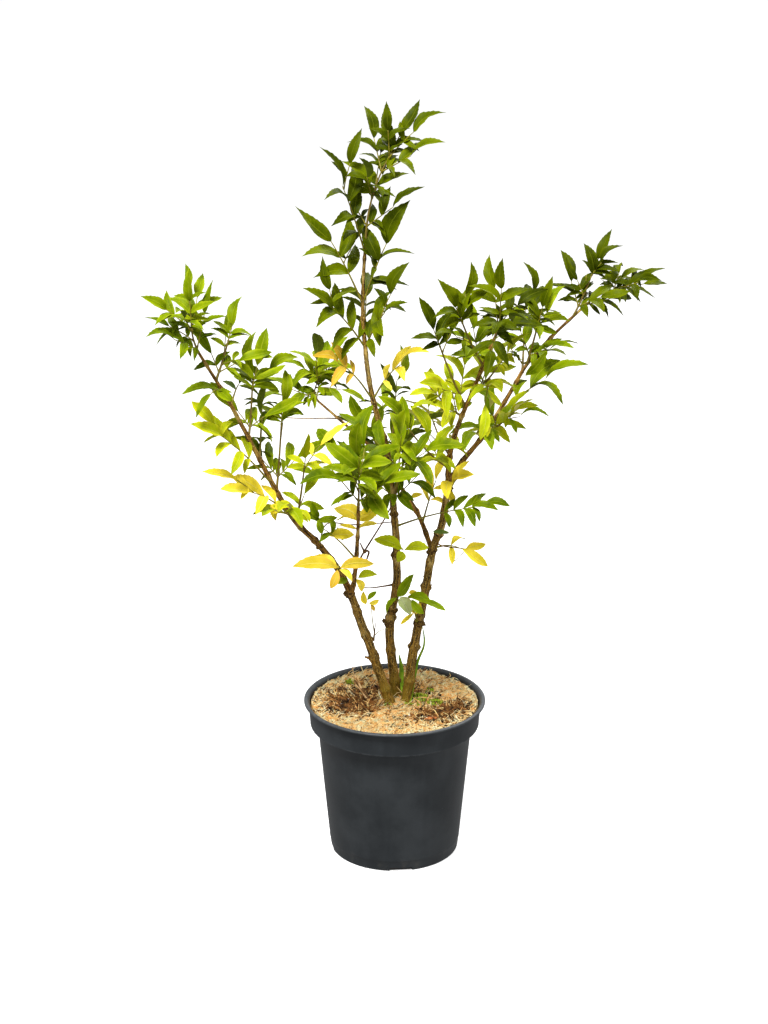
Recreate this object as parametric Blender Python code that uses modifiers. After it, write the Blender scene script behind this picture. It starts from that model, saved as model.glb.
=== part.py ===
"""Potted elder: a young shrub with three stems in a round plastic nursery pot.

Units are metres and +Z is up. The origin is the centre of the pot's flat underside, -Y is the front.
Each stem and bough is one tapering limb. Each mass of foliage is one twig with compound leaves:
a leaf is a thin stalk with opposite leaflets and one more at its end. The twigs follow one seeded
rule, and a leaf or leaflet that would touch a limb or another mass is left out.
"""
import math
import random
from collections import namedtuple

import bmesh
import bpy
from mathutils import Matrix, Vector
from mathutils.bvhtree import BVHTree

# Pot and soil
POT_HEIGHT = 0.2295
RIM_RADIUS = 0.130
LIP_THICKNESS = 0.004
LIP_WIDTH = 0.0045
BAND_TOP_RADIUS = 0.1237
BAND_FOOT_RADIUS = 0.1211
BAND_HEIGHT = 0.0373
WALL_TOP_RADIUS = 0.1103
BASE_RADIUS = 0.0928
WALL = 0.0018
FLOOR = 0.0025
SHOULDER_DROP = 0.002
RIDGE_HEIGHT = 0.0166
RIDGE_STEP = 0.0005
POT_FACETS = 36
NOTCH_COUNT = 4
NOTCH_WIDTH = 0.033
NOTCH_HEIGHT = 0.0055
NOTCH_DEPTH = 0.006
NOTCH_TURN = 6.0
LIP_STEPS = 6
BAND_FOOT_HEIGHT = POT_HEIGHT - BAND_HEIGHT
WALL_TOP_HEIGHT = BAND_FOOT_HEIGHT - SHOULDER_DROP
SOIL_TOP = 0.218
SOIL_EDGE_DROP = 0.0015
SOIL_FLAT_RADIUS = 0.050

# Clearances and mesh fineness
GAP = 0.0003
GAP_STEP = GAP / 3
GAP_STEPS = 400
WELD = 0.0001
SHARP_ANGLE = 35.0
ROUND_TUBE = 2
RING_POINTS = 6
ASKEW = Vector((0.1, 0.2, 1.0))

# Stems and boughs
LIMB_STEP = 0.032
FORK_DEPTH = 0.003
FLARE_HEIGHT = 0.028
FLARE = 1.32
FOOT_HEIGHT = 0.004
FOOT_SHARE = 0.45

# Compound leaves
TWIG_SIDES = 3
RACHIS_RADIUS = 0.0012
RACHIS_TIP = 0.0009
BLADE_WIDTH = 0.34
BLADE_THICKNESS = 0.022
BLADE_ARCH = 0.07
BLADE_FOLD = 0.035
BLADE_WIDEST = 0.42
BLADE_SINK = 0.0003
BLADE_SPACING = 0.42
LEAF_OPEN = 54.0
LEAF_RISE = 0.32
CROWN_LEAF = 0.75
LOW_BLADE = 0.66
BLADE_OPEN_LOW = 47.0
BLADE_OPEN_HIGH = 32.0
SKY_TILT = 62.0
STEM_RADIUS = 0.0018
STEM_TIP = 0.0010
STEM_TO_LIMB = 0.8
STEM_STEPS = 4
FIRST_PAIR = 0.15
LAST_PAIR = 0.80
LOWEST_BLADE = 0.12

# How far the seeded draws reach: angles in degrees, lifts as a share of the direction, lengths as factors
LEAF_TURN = 8.0
LEAF_VARIES = (0.85, 1.15)
BLADE_TURN = 7.0
BLADE_LIFT = (-0.30, 0.06)
BLADE_VARIES = (0.90, 1.12)
END_LIFT = (-0.25, 0.05)
END_VARIES = (1.02, 1.18)
LOOK_TURN = 0.22
SEED_STEP = 100
CROWN_SEED = 99

UP = Vector((0.0, 0.0, 1.0))

# A limb runs along its route, from the soil or from a fork, and tapers from one radius to the other.
# A bough starts inside its fork and is cut clear of its neighbours there.
Limb = namedtuple("Limb", "name route radius tip_radius neighbours")

LIMBS = (
    Limb("stem_left", ((-0.007, 0.010, SOIL_TOP), (-0.029, 0.001, 0.291), (-0.045, -0.008, 0.341),
                       (-0.063, -0.022, 0.400)), 0.0072, 0.0056, ()),
    Limb("stem_centre", ((0.003, 0.035, SOIL_TOP), (-0.007, 0.030, 0.320), (0.003, 0.024, 0.403),
                         (-0.002, 0.018, 0.515), (-0.012, 0.016, 0.596), (-0.033, 0.013, 0.682),
                         (-0.044, 0.009, 0.790), (-0.040, 0.006, 0.895)), 0.0072, 0.0019, ()),
    Limb("stem_right", ((0.017, 0.018, SOIL_TOP), (0.029, 0.020, 0.309), (0.040, 0.020, 0.369),
                        (0.054, 0.020, 0.450), (0.065, 0.018, 0.484), (0.074, 0.015, 0.542)),
         0.0074, 0.0048, ()),
    Limb("bough_left", ((-0.063, -0.022, 0.400), (-0.078, -0.027, 0.434), (-0.106, -0.036, 0.476),
                        (-0.144, -0.048, 0.524), (-0.187, -0.072, 0.619), (-0.221, -0.092, 0.697),
                        (-0.257, -0.115, 0.769)), 0.0050, 0.0019, ("stem_left",)),
    Limb("bough_front", ((-0.060, -0.022, 0.398), (-0.056, -0.045, 0.428), (-0.052, -0.072, 0.480),
                         (-0.049, -0.105, 0.556)), 0.0036, 0.0021, ("stem_left", "bough_left")),
    Limb("bough_back", ((0.053, 0.022, 0.444), (0.036, 0.050, 0.483), (0.018, 0.080, 0.506),
                        (-0.027, 0.120, 0.559), (-0.063, 0.140, 0.588), (-0.110, 0.160, 0.624)),
         0.0036, 0.0016, ("stem_right",)),
    Limb("bough_right_inner", ((0.074, 0.015, 0.542), (0.075, 0.000, 0.587), (0.081, -0.020, 0.626),
                               (0.100, -0.050, 0.689), (0.135, -0.090, 0.793)), 0.0042, 0.0020,
         ("stem_right",)),
    Limb("bough_right_outer", ((0.074, 0.016, 0.538), (0.088, 0.027, 0.568), (0.126, 0.048, 0.611),
                               (0.163, 0.070, 0.666), (0.185, 0.085, 0.701), (0.222, 0.100, 0.739),
                               (0.260, 0.120, 0.770)), 0.0040, 0.0018,
         ("stem_right", "bough_right_inner")),
)

# A mass springs from its limb at a share of the limb's length, and its stem ends at tip. bow lifts
# the middle of the stem, pairs is how many opposite pairs of leaves it carries besides the leaf at
# its end, leaf and blade are the lengths of a leaf and of a leaflet, face is the side that the leaves
# look to, in degrees from the front, and spin turns the first pair round the stem.
Mass = namedtuple("Mass", "name limb along tip bow pairs leaf leaflets blade tint face spin",
                  defaults=(0, 0))

MASSES = (
    Mass("left_tip", "bough_left", 1.0, (-0.265, -0.122, 0.807), 0.004, 2, 0.046, 5, 0.041, "spring", -10),
    Mass("left_side", "bough_left", 0.89, (-0.221, -0.080, 0.776), -0.004, 1, 0.028, 3, 0.042,
         "spring", 20, 10),
    Mass("left_upper", "bough_left", 0.66, (-0.192, -0.050, 0.706), -0.012, 1, 0.024, 3, 0.05, "spring", 20),
    Mass("left_mid_out", "bough_left", 0.85, (-0.242, -0.125, 0.716), 0.007, 0, 0.0, 5, 0.044,
         "spring", -20),
    Mass("left_mid_in", "bough_left", 0.79, (-0.210, -0.050, 0.709), 0.007, 0, 0.0, 3, 0.04, "pale", 20),
    Mass("left_out", "bough_left", 0.48, (-0.228, -0.120, 0.656), 0.007, 0, 0.0, 7, 0.048, "lime", -10),
    Mass("left_yellow", "bough_left", 0.36, (-0.191, -0.090, 0.568), 0.007, 0, 0.0, 5, 0.054, "yellow", -10),
    Mass("left_low", "bough_left", 0.33, (-0.158, -0.090, 0.540), 0.007, 0, 0.0, 5, 0.046, "lime", -20),
    Mass("left_twig", "bough_left", 0.32, (-0.122, -0.090, 0.602), -0.006, 1, 0.026, 3, 0.044, "lime", 10),
    Mass("left_inner", "bough_left", 0.45, (-0.155, -0.030, 0.646), -0.01, 1, 0.036, 5, 0.044, "spring", 10),
    Mass("left_back", "bough_left", 0.58, (-0.184, 0.020, 0.655), -0.01, 1, 0.04, 5, 0.044, "leaf", 170, 90),
    Mass("low_inner", "bough_front", 0.45, (-0.100, -0.060, 0.508), 0.007, 0, 0.0, 3, 0.038, "leaf"),
    Mass("foot_yellow", "bough_left", 0.10, (-0.076, -0.094, 0.462), 0.01, 0, 0.0, 5, 0.056, "yellow"),
    Mass("front_cluster", "bough_front", 1.0, (-0.048, -0.122, 0.595), 0.0, 2, 0.058, 5, 0.055, "leaf"),
    Mass("front_yellow", "bough_front", 0.72, (-0.052, -0.045, 0.520), 0.007, 0, 0.0, 5, 0.042, "yellow"),
    Mass("centre_low", "stem_centre", 0.22, (0.036, -0.022, 0.389), 0.007, 0, 0.0, 5, 0.042, "leaf", 10),
    Mass("centre_lime", "stem_centre", 0.34, (0.012, -0.034, 0.466), 0.007, 0, 0.0, 3, 0.042, "lime", 10),
    Mass("centre_twig", "stem_centre", 0.39, (0.106, -0.050, 0.534), 0.007, 0, 0.0, 7, 0.038, "leaf"),
    Mass("centre_mid", "stem_centre", 0.43, (0.006, -0.045, 0.603), -0.012, 2, 0.058, 5, 0.054, "spring"),
    Mass("centre_behind", "stem_centre", 0.52, (0.000, 0.090, 0.640), -0.012, 1, 0.05, 5, 0.05, "spring", 180),
    Mass("ochre_left", "stem_centre", 0.67, (-0.077, -0.020, 0.730), 0.012, 0, 0.0, 5, 0.038, "ochre"),
    Mass("ochre_right", "stem_centre", 0.67, (0.008, -0.012, 0.726), 0.012, 0, 0.0, 5, 0.044, "yellow"),
    Mass("centre_left", "stem_centre", 0.78, (-0.084, -0.020, 0.806), 0.007, 0, 0.0, 7, 0.056, "olive"),
    Mass("centre_right", "stem_centre", 0.78, (-0.014, -0.035, 0.804), 0.007, 0, 0.0, 7, 0.05, "olive"),
    Mass("upper_left", "stem_centre", 0.87, (-0.086, -0.004, 0.894), 0.007, 0, 0.0, 7, 0.061, "olive"),
    Mass("upper_right", "stem_centre", 0.87, (-0.012, 0.000, 0.890), 0.007, 0, 0.0, 7, 0.063, "olive"),
    Mass("upper_back", "stem_centre", 0.80, (-0.040, 0.075, 0.800), 0.007, 0, 0.0, 7, 0.052, "olive", 180),
    Mass("top_left", "stem_centre", 0.975, (-0.070, -0.014, 0.970), 0.007, 0, 0.0, 7, 0.056, "olive"),
    Mass("top", "stem_centre", 1.0, (-0.008, 0.016, 1.005), 0.004, 3, 0.044, 5, 0.047, "olive"),
    Mass("right_low_yellow", "stem_right", 0.72, (0.094, 0.000, 0.456), 0.007, 0, 0.0, 3, 0.042, "yellow"),
    Mass("right_low_lime", "stem_right", 0.36, (0.023, -0.010, 0.373), 0.007, 0, 0.0, 3, 0.03, "lime"),
    Mass("back_tip", "bough_back", 1.0, (-0.109, 0.175, 0.655), 0.0, 2, 0.042, 5, 0.045, "spring"),
    Mass("back_side", "bough_back", 0.16, (0.058, 0.045, 0.543), 0.007, 0, 0.0, 5, 0.04, "yellow"),
    Mass("back_mid", "bough_back", 0.47, (-0.030, 0.100, 0.585), -0.004, 1, 0.036, 5, 0.044, "leaf"),
    Mass("back_far", "bough_back", 0.60, (-0.020, 0.205, 0.585), -0.01, 1, 0.046, 5, 0.048, "leaf", 180),
    Mass("reach_left", "bough_right_inner", 0.12, (0.023, -0.030, 0.634), -0.008, 1, 0.04, 5, 0.05,
         "spring"),
    Mass("reach_back", "bough_right_inner", 0.20, (0.055, 0.060, 0.620), -0.008, 1, 0.04, 5, 0.046,
         "lime", 150),
    Mass("inner_lime", "bough_right_inner", 0.47, (0.062, -0.035, 0.684), -0.004, 1, 0.034, 5, 0.04, "lime"),
    Mass("inner_left", "bough_right_inner", 0.53, (0.060, -0.060, 0.763), -0.006, 1, 0.036, 5, 0.044,
         "olive"),
    Mass("inner_upper", "bough_right_inner", 0.79, (0.088, -0.100, 0.806), -0.006, 1, 0.036, 5, 0.044,
         "olive"),
    Mass("inner_tip", "bough_right_inner", 1.0, (0.136, -0.105, 0.806), 0.002, 2, 0.05, 5, 0.045, "olive"),
    Mass("inner_out", "bough_right_inner", 0.61, (0.136, -0.070, 0.738), -0.006, 1, 0.034, 5, 0.04, "lime"),
    Mass("fork_yellow", "stem_right", 0.94, (0.086, -0.018, 0.565), 0.007, 0, 0.0, 5, 0.044, "yellow"),
    Mass("outer_low", "bough_right_outer", 0.31, (0.152, 0.015, 0.640), -0.004, 1, 0.036, 5, 0.042, "lime"),
    Mass("outer_out", "bough_right_outer", 0.42, (0.208, 0.045, 0.688), 0.007, 0, 0.0, 7, 0.058, "spring"),
    Mass("outer_back", "bough_right_outer", 0.62, (0.185, 0.165, 0.735), -0.008, 1, 0.046, 5, 0.046,
         "olive", 150),
    Mass("outer_upper", "bough_right_outer", 0.66, (0.198, 0.070, 0.762), -0.002, 2, 0.036, 5, 0.042,
         "olive"),
    Mass("outer_up", "bough_right_outer", 0.96, (0.275, 0.125, 0.818), -0.004, 1, 0.034, 5, 0.042, "olive"),
    Mass("outer_tip", "bough_right_outer", 1.0, (0.322, 0.145, 0.796), 0.004, 2, 0.042, 7, 0.036,
         "olive", 10, 60),
)

# Colour and roughness of each material
FINISHES = {
    "plastic": ((0.032, 0.038, 0.045), 0.5),
    "mulch": ((0.58, 0.36, 0.17), 0.95),
    "bark": ((0.20, 0.13, 0.055), 0.85),
    "olive": ((0.10, 0.19, 0.02), 0.5),
    "leaf": ((0.13, 0.27, 0.02), 0.5),
    "spring": ((0.22, 0.37, 0.02), 0.5),
    "pale": ((0.30, 0.42, 0.14), 0.6),
    "lime": ((0.42, 0.50, 0.03), 0.5),
    "yellow": ((0.80, 0.60, 0.05), 0.55),
    "ochre": ((0.75, 0.42, 0.06), 0.6),
}


def clear_scene():
    """Remove every object of the scene that is open."""
    for thing in list(bpy.data.objects):
        bpy.data.objects.remove(thing, do_unlink=True)


def new_collection(name):
    """Return a new collection in the scene."""
    group = bpy.data.collections.new(name)
    bpy.context.scene.collection.children.link(group)
    return group


def finish(name):
    """Return the material of that name, made on its first use."""
    if name in bpy.data.materials:
        return bpy.data.materials[name]
    colour, roughness = FINISHES[name]
    skin = bpy.data.materials.new(name)
    skin.use_nodes = True
    shader = skin.node_tree.nodes["Principled BSDF"]
    shader.inputs["Base Color"].default_value = (*colour, 1.0)
    shader.inputs["Roughness"].default_value = roughness
    shader.inputs["Metallic"].default_value = 0.0
    return skin


def add_object(name, mesh, group, material=None):
    """Put a mesh in the scene as a named object."""
    thing = bpy.data.objects.new(name, mesh)
    group.objects.link(thing)
    if material:
        mesh.materials.clear()
        mesh.materials.append(finish(material))
    return thing


def applied_mesh(thing):
    """Return a new mesh of the object with its modifiers applied."""
    graph = bpy.context.evaluated_depsgraph_get()
    return bpy.data.meshes.new_from_object(thing.evaluated_get(graph))


def soften(thing):
    """Shade the object smooth up to its sharp edges."""
    thing.data.shade_smooth()
    thing.data.set_sharp_from_angle(angle=math.radians(SHARP_ANGLE))


def arc(radius_at, height_at, radius, start, end, steps):
    """Return the points of an arc in the profile plane, angles in degrees."""
    points = []
    for step in range(steps + 1):
        angle = math.radians(start + (end - start) * step / steps)
        points.append((radius_at + radius * math.cos(angle), height_at + radius * math.sin(angle)))
    return points


def turned(name, profile, group, material):
    """Turn a profile of (radius, height) points about the Z axis."""
    mesh = bpy.data.meshes.new(name)
    mesh.from_pydata([(r, 0.0, z) for r, z in profile], [(i, i + 1) for i in range(len(profile) - 1)], [])
    thing = add_object(name, mesh, group, material)
    screw = thing.modifiers.new("turn", "SCREW")
    screw.steps = POT_FACETS
    screw.render_steps = POT_FACETS
    screw.use_merge_vertices = True
    screw.merge_threshold = WELD
    return thing


def soil_wall(inset):
    """Return the pot's inner profile from its floor to the band, moved in by a gap."""
    return [
        (BASE_RADIUS - 2 * RIDGE_STEP + inset, FLOOR),
        (WALL_TOP_RADIUS + inset, WALL_TOP_HEIGHT),
        (BAND_FOOT_RADIUS + inset, BAND_FOOT_HEIGHT),
    ]


def soften_applied(thing):
    """Apply the object's modifiers and shade the result."""
    mesh = applied_mesh(thing)
    thing.modifiers.clear()
    thing.data = mesh
    soften(thing)


def move_to(thing, group):
    """Take an object out of its collections and put it in one."""
    for home in list(thing.users_collection):
        home.objects.unlink(thing)
    group.objects.link(thing)


def build_pot(parts, cutters):
    """Turn the pot and cut the drainage notches in its lower edge."""
    lip = LIP_THICKNESS / 2
    slope = (WALL_TOP_RADIUS - BASE_RADIUS) / WALL_TOP_HEIGHT
    ridge_radius = BASE_RADIUS + slope * RIDGE_HEIGHT
    outside = [(RIM_RADIUS - LIP_WIDTH, POT_HEIGHT)]
    outside += arc(RIM_RADIUS - lip, POT_HEIGHT - lip, lip, 90, -90, LIP_STEPS)
    outside += [
        (BAND_TOP_RADIUS, POT_HEIGHT - LIP_THICKNESS - lip / 2),
        (BAND_FOOT_RADIUS, BAND_FOOT_HEIGHT + lip / 2),
        (BAND_FOOT_RADIUS - lip / 2, BAND_FOOT_HEIGHT),
        (WALL_TOP_RADIUS, WALL_TOP_HEIGHT),
        (ridge_radius, RIDGE_HEIGHT),
        (ridge_radius - RIDGE_STEP, RIDGE_HEIGHT - RIDGE_STEP),
        (BASE_RADIUS - RIDGE_STEP, lip / 2),
        (BASE_RADIUS - RIDGE_STEP - lip / 2, 0.0),
        (0.0, 0.0),
    ]
    inside = [(0.0, FLOOR)] + soil_wall(-WALL) + [(BAND_TOP_RADIUS - WALL, POT_HEIGHT - LIP_THICKNESS / 2)]
    pot = turned("pot", outside + inside + outside[:1], parts, "plastic")
    for count in range(NOTCH_COUNT):
        angle = math.radians(NOTCH_TURN + 360 * count / NOTCH_COUNT)
        bpy.ops.mesh.primitive_cube_add(size=1.0)
        notch = bpy.context.object
        notch.name = f"notch_cutter_{count}"
        notch.scale = (NOTCH_WIDTH, 2 * NOTCH_DEPTH, 2 * NOTCH_HEIGHT)
        notch.location = (BASE_RADIUS * math.sin(angle), -BASE_RADIUS * math.cos(angle), 0.0)
        notch.rotation_euler.z = angle
        move_to(notch, cutters)
        notch.hide_render = True
        notch.display_type = "WIRE"
        cut = pot.modifiers.new("notch", "BOOLEAN")
        cut.operation = "DIFFERENCE"
        cut.object = notch
    soften_applied(pot)
    return pot


def build_soil(parts):
    """Turn the filling of the pot, clear of its wall and floor."""
    wall = soil_wall(-WALL - GAP)
    floor_radius, floor_height = wall[0]
    edge = SOIL_TOP - SOIL_EDGE_DROP
    band_radius, band_height = wall[2]
    rise = (edge - band_height) / (POT_HEIGHT - LIP_THICKNESS / 2 - band_height)
    edge_radius = band_radius + rise * (BAND_TOP_RADIUS - BAND_FOOT_RADIUS)
    profile = [
        (0.0, SOIL_TOP),
        (SOIL_FLAT_RADIUS, SOIL_TOP),
        (edge_radius, edge),
        (band_radius, band_height + GAP),
        (wall[1][0], wall[1][1] + GAP),
        (floor_radius, floor_height + GAP),
        (0.0, floor_height + GAP),
    ]
    soil = turned("soil", profile, parts, "mulch")
    soften_applied(soil)
    return soil


def smooth_route(points, step):
    """Return points about a step apart on a smooth curve through the given points."""
    knots = [Vector(p) for p in points]
    knots = [2 * knots[0] - knots[1]] + knots + [2 * knots[-1] - knots[-2]]
    route = []
    for before, start, end, after in zip(knots, knots[1:], knots[2:], knots[3:]):
        count = max(1, round((end - start).length / step))
        for i in range(count):
            t = i / count
            route.append(0.5 * (2 * start + (end - before) * t
                                + (2 * before - 5 * start + 4 * end - after) * t ** 2
                                + (3 * start - before - 3 * end + after) * t ** 3))
    route.append(knots[-2])
    return route


def lengths_along(route):
    """Return each point's share of the route's whole length."""
    total = [0.0]
    for start, end in zip(route, route[1:]):
        total.append(total[-1] + (end - start).length)
    return [value / total[-1] for value in total]


def point_along(route, share):
    """Return the point at a share of the route's length and the direction there."""
    shares = lengths_along(route)
    for start, end, low, high in zip(route, route[1:], shares, shares[1:]):
        if share <= high:
            break
    place = start.lerp(end, (share - low) / (high - low))
    return place, (end - start).normalized()


def limb_route(limb):
    """Return the limb's route: a stem begins upright on its flat cut, a bough inside its fork."""
    route = smooth_route(limb.route, LIMB_STEP)
    if limb.name.startswith("stem"):
        foot = route[0] + UP * GAP
        route = [foot, foot + UP * FOOT_HEIGHT, foot.lerp(route[1], FOOT_SHARE)] + route[1:]
    else:
        route[0] = route[0] - (route[1] - route[0]).normalized() * FORK_DEPTH
    return route


def limb_radii(limb, route):
    """Return the radius at each point, with the root flare on a stem."""
    radii = []
    for point, share in zip(route, lengths_along(route)):
        radius = limb.radius + (limb.tip_radius - limb.radius) * share
        height = point.z - SOIL_TOP
        if limb.name.startswith("stem") and height < FLARE_HEIGHT:
            radius *= 1.0 + (FLARE - 1.0) * (1.0 - height / FLARE_HEIGHT) ** 2
        radii.append(radius)
    return radii


def taper(start, end, count):
    """Return radii that go evenly from one to the other."""
    return [start + (end - start) * i / (count - 1) for i in range(count)]


def tube(name, route, radii, group, section=None):
    """Return a closed mesh object swept along a route: round, or with a section curve."""
    curve = bpy.data.curves.new(name, "CURVE")
    curve.dimensions = "3D"
    curve.use_fill_caps = True
    if section:
        curve.bevel_mode = "OBJECT"
        curve.bevel_object = section
    else:
        curve.bevel_depth = 1.0
        curve.bevel_resolution = ROUND_TUBE
    spline = curve.splines.new("POLY")
    spline.points.add(len(route) - 1)
    for point, place, radius in zip(spline.points, route, radii):
        point.co = (*place, 1.0)
        point.radius = radius
    guide = bpy.data.objects.new(f"{name}_curve", curve)
    group.objects.link(guide)
    mesh = applied_mesh(guide)
    bpy.data.objects.remove(guide, do_unlink=True)
    weld = bmesh.new()
    weld.from_mesh(mesh)
    bmesh.ops.remove_doubles(weld, verts=weld.verts, dist=WELD / 10)
    bmesh.ops.recalc_face_normals(weld, faces=weld.faces)
    weld.to_mesh(mesh)
    weld.free()
    thing = bpy.data.objects.new(name, mesh)
    group.objects.link(thing)
    return thing


def clearance_sleeve(limb, routes, cutters):
    """Return a cutter that is the limb made larger by the gap on every side."""
    route = list(routes.get(limb.name) or limb_route(limb))
    radii = [radius + GAP for radius in limb_radii(limb, route)]
    route[0] = route[0] - (route[1] - route[0]).normalized() * GAP
    route[-1] = route[-1] + (route[-1] - route[-2]).normalized() * GAP
    sleeve = tube(f"{limb.name}_cutter", route, radii, cutters)
    sleeve.hide_render = True
    sleeve.display_type = "WIRE"
    return sleeve


def shells_of(cage):
    """Return the separate shells of a bmesh, each as a list of faces."""
    left = set(cage.faces)
    shells = []
    while left:
        seed = left.pop()
        shell = [seed]
        for face in shell:
            for edge in face.edges:
                for other in edge.link_faces:
                    if other in left:
                        left.remove(other)
                        shell.append(other)
        shells.append(shell)
    return shells


def shell_volume(shell):
    """Return six times the signed volume inside a shell."""
    volume = 0.0
    for face in shell:
        corners = [vertex.co for vertex in face.verts]
        for one, two in zip(corners[1:], corners[2:]):
            volume += corners[0].dot(one.cross(two))
    return volume


def keep_main_shell(mesh):
    """Drop loose scraps and fill sealed hollows; say if the rest is closed."""
    cage = bmesh.new()
    cage.from_mesh(mesh)
    shells = sorted(shells_of(cage), key=shell_volume)
    scraps = [face for shell in shells[:-1] for face in shell]
    bmesh.ops.delete(cage, geom=scraps, context="FACES")
    bmesh.ops.triangulate(cage, faces=cage.faces)
    closed = len(cage.faces) > 3 and all(len(edge.link_faces) == 2 for edge in cage.edges)
    cage.to_mesh(mesh)
    cage.free()
    return closed


def apply_boolean(thing):
    """Apply the object's Booleans with the first solver that leaves one closed solid."""
    for solver in ("EXACT", "MANIFOLD"):
        for modifier in thing.modifiers:
            modifier.solver = solver
        mesh = applied_mesh(thing)
        if keep_main_shell(mesh):
            thing.modifiers.clear()
            thing.data = mesh
            return
    raise ValueError(f"{thing.name} does not close")


def build_limbs(parts, cutters):
    """Sweep every stem and bough, and cut those that spring from a fork clear of it."""
    routes = {}
    for limb in LIMBS:
        route = limb_route(limb)
        radii = limb_radii(limb, route)
        routes[limb.name] = route
        bough = tube(limb.name, route, radii, parts)
        bough.data.materials.append(finish("bark"))
        for name in limb.neighbours:
            neighbour = next(row for row in LIMBS if row.name == name)
            cut = bough.modifiers.new("fork", "BOOLEAN")
            cut.operation = "DIFFERENCE"
            cut.object = clearance_sleeve(neighbour, routes, cutters)
        if limb.neighbours:
            apply_boolean(bough)
        soften(bough)
    return routes


def blade_mesh():
    """Return the leaflet of length 1: an octahedron stretched to an arched, folded blade."""
    mesh = bpy.data.meshes.new("blade")
    cage = bmesh.new()
    bmesh.ops.create_uvsphere(cage, u_segments=4, v_segments=2, radius=1.0)
    for vertex in cage.verts:
        x, y, z = vertex.co
        along = 1.0 if x > 0.5 else 0.0 if x < -0.5 else BLADE_WIDEST
        rise = BLADE_ARCH if abs(x) < 0.5 else 0.0
        fold = BLADE_FOLD if abs(y) > 0.5 else 0.0
        vertex.co = (along, 0.5 * y, rise + fold + 0.5 * BLADE_THICKNESS * z)
    bmesh.ops.triangulate(cage, faces=cage.faces)
    bmesh.ops.recalc_face_normals(cage, faces=cage.faces)
    cage.to_mesh(mesh)
    cage.free()
    return mesh


def facing(degrees):
    """Return the direction that a mass's leaves look to, tilted up to the sky."""
    turn = math.radians(degrees)
    tilt = math.radians(SKY_TILT)
    return Vector((math.sin(turn) * math.cos(tilt), -math.cos(turn) * math.cos(tilt), math.sin(tilt)))


def across(direction, look):
    """Return the unit vector square to a direction and to the look of the leaves."""
    return direction.cross(look).normalized()


def bend(start, middle, end, steps):
    """Return points on the arch that leaves start towards middle and comes to end."""
    points = []
    for step in range(steps + 1):
        t = step / steps
        points.append((1 - t) ** 2 * start + 2 * t * (1 - t) * middle + t ** 2 * end)
    return points


def blade_frame(root, direction, look, length, width):
    """Return the matrix that sets the unit blade at its root."""
    normal = (look - direction * look.dot(direction)).normalized()
    side = normal.cross(direction)
    sunk = root - direction * BLADE_SINK
    frame = Matrix.Identity(4)
    for row in range(3):
        frame[row] = (direction[row] * length, side[row] * width, normal[row] * length, sunk[row])
    return frame


def jitter(look, draw):
    """Return the look turned a little at random."""
    return (look + Vector([draw.uniform(-LOOK_TURN, LOOK_TURN) for _ in range(3)])).normalized()


def leaflets_on(stalk, look, count, blade, draw):
    """Return the frames of a leaf's blades, opposite pairs and one at the end of the stalk."""
    frames = []
    pairs = (count - 1) // 2
    whole = sum((b - a).length for a, b in zip(stalk, stalk[1:]))
    for pair in range(pairs):
        share = max(LOWEST_BLADE, 1.0 - (pairs - pair) * BLADE_SPACING * blade / whole)
        place, heading = point_along(stalk, share)
        grade = pair / max(1, pairs - 1)
        for hand in (-1, 1):
            angle = BLADE_OPEN_LOW + (BLADE_OPEN_HIGH - BLADE_OPEN_LOW) * grade
            angle = math.radians(angle + draw.uniform(-BLADE_TURN, BLADE_TURN))
            direction = heading * math.cos(angle) + across(heading, look) * (hand * math.sin(angle))
            direction = direction + look * draw.uniform(*BLADE_LIFT)
            length = blade * (LOW_BLADE + (1.0 - LOW_BLADE) * grade) * draw.uniform(*BLADE_VARIES)
            frames.append(blade_frame(place, direction.normalized(), look, length, length * BLADE_WIDTH))
    place, heading = point_along(stalk, 1.0)
    direction = (heading + look * draw.uniform(*END_LIFT)).normalized()
    length = blade * draw.uniform(*END_VARIES)
    frames.append(blade_frame(place, direction, look, length, length * BLADE_WIDTH))
    return frames


def grow_leaf(base, heading, length, look, row, draw):
    """Return a compound leaf: its stalk's points and the frames of its blades."""
    stalk = [base, base + heading * length]
    return stalk, leaflets_on(stalk, jitter(look, draw), row.leaflets, row.blade, draw)


def plan_mass(row, number, route, start):
    """Return the stem of a mass and its leaves, by the seeded rule."""
    look = facing(row.face)
    _, heading = point_along(route, row.along)
    tip = Vector(row.tip)
    if row.along == 1.0:
        middle = start + heading * ((tip - start).length * 0.5)
    else:
        middle = start.lerp(tip, 0.5)
    middle = middle + UP * row.bow
    stem = bend(start, middle, tip, STEM_STEPS)
    leaves = []
    seed = SEED_STEP * number
    if row.pairs == 0:
        draw = random.Random(seed)
        leaves.append((None, leaflets_on(stem, jitter(look, draw), row.leaflets, row.blade, draw)))
        return stem, leaves
    for pair in range(row.pairs):
        share = FIRST_PAIR + (LAST_PAIR - FIRST_PAIR) * pair / max(1, row.pairs - 1)
        node, rise = point_along(stem, share)
        side = across(rise, look)
        side = Matrix.Rotation(math.radians(row.spin + 90 * pair), 3, rise) @ side
        for hand in (-1, 1):
            draw = random.Random(seed + 2 * pair + (hand + 1) // 2 + 1)
            angle = math.radians(LEAF_OPEN + draw.uniform(-LEAF_TURN, LEAF_TURN))
            direction = rise * math.cos(angle) + side * (hand * math.sin(angle)) + UP * LEAF_RISE
            length = row.leaf * draw.uniform(*LEAF_VARIES)
            leaves.append(grow_leaf(node, direction.normalized(), length, look, row, draw))
    _, rise = point_along(stem, 1.0)
    draw = random.Random(seed + CROWN_SEED)
    leaves.append(grow_leaf(tip, rise, row.leaf * CROWN_LEAF, look, row, draw))
    return stem, leaves


def world_faces(thing):
    """Return an object's corners in world space and its faces."""
    corners = [thing.matrix_world @ vertex.co for vertex in thing.data.vertices]
    faces = [tuple(face.vertices) for face in thing.data.polygons]
    return corners, faces


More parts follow.
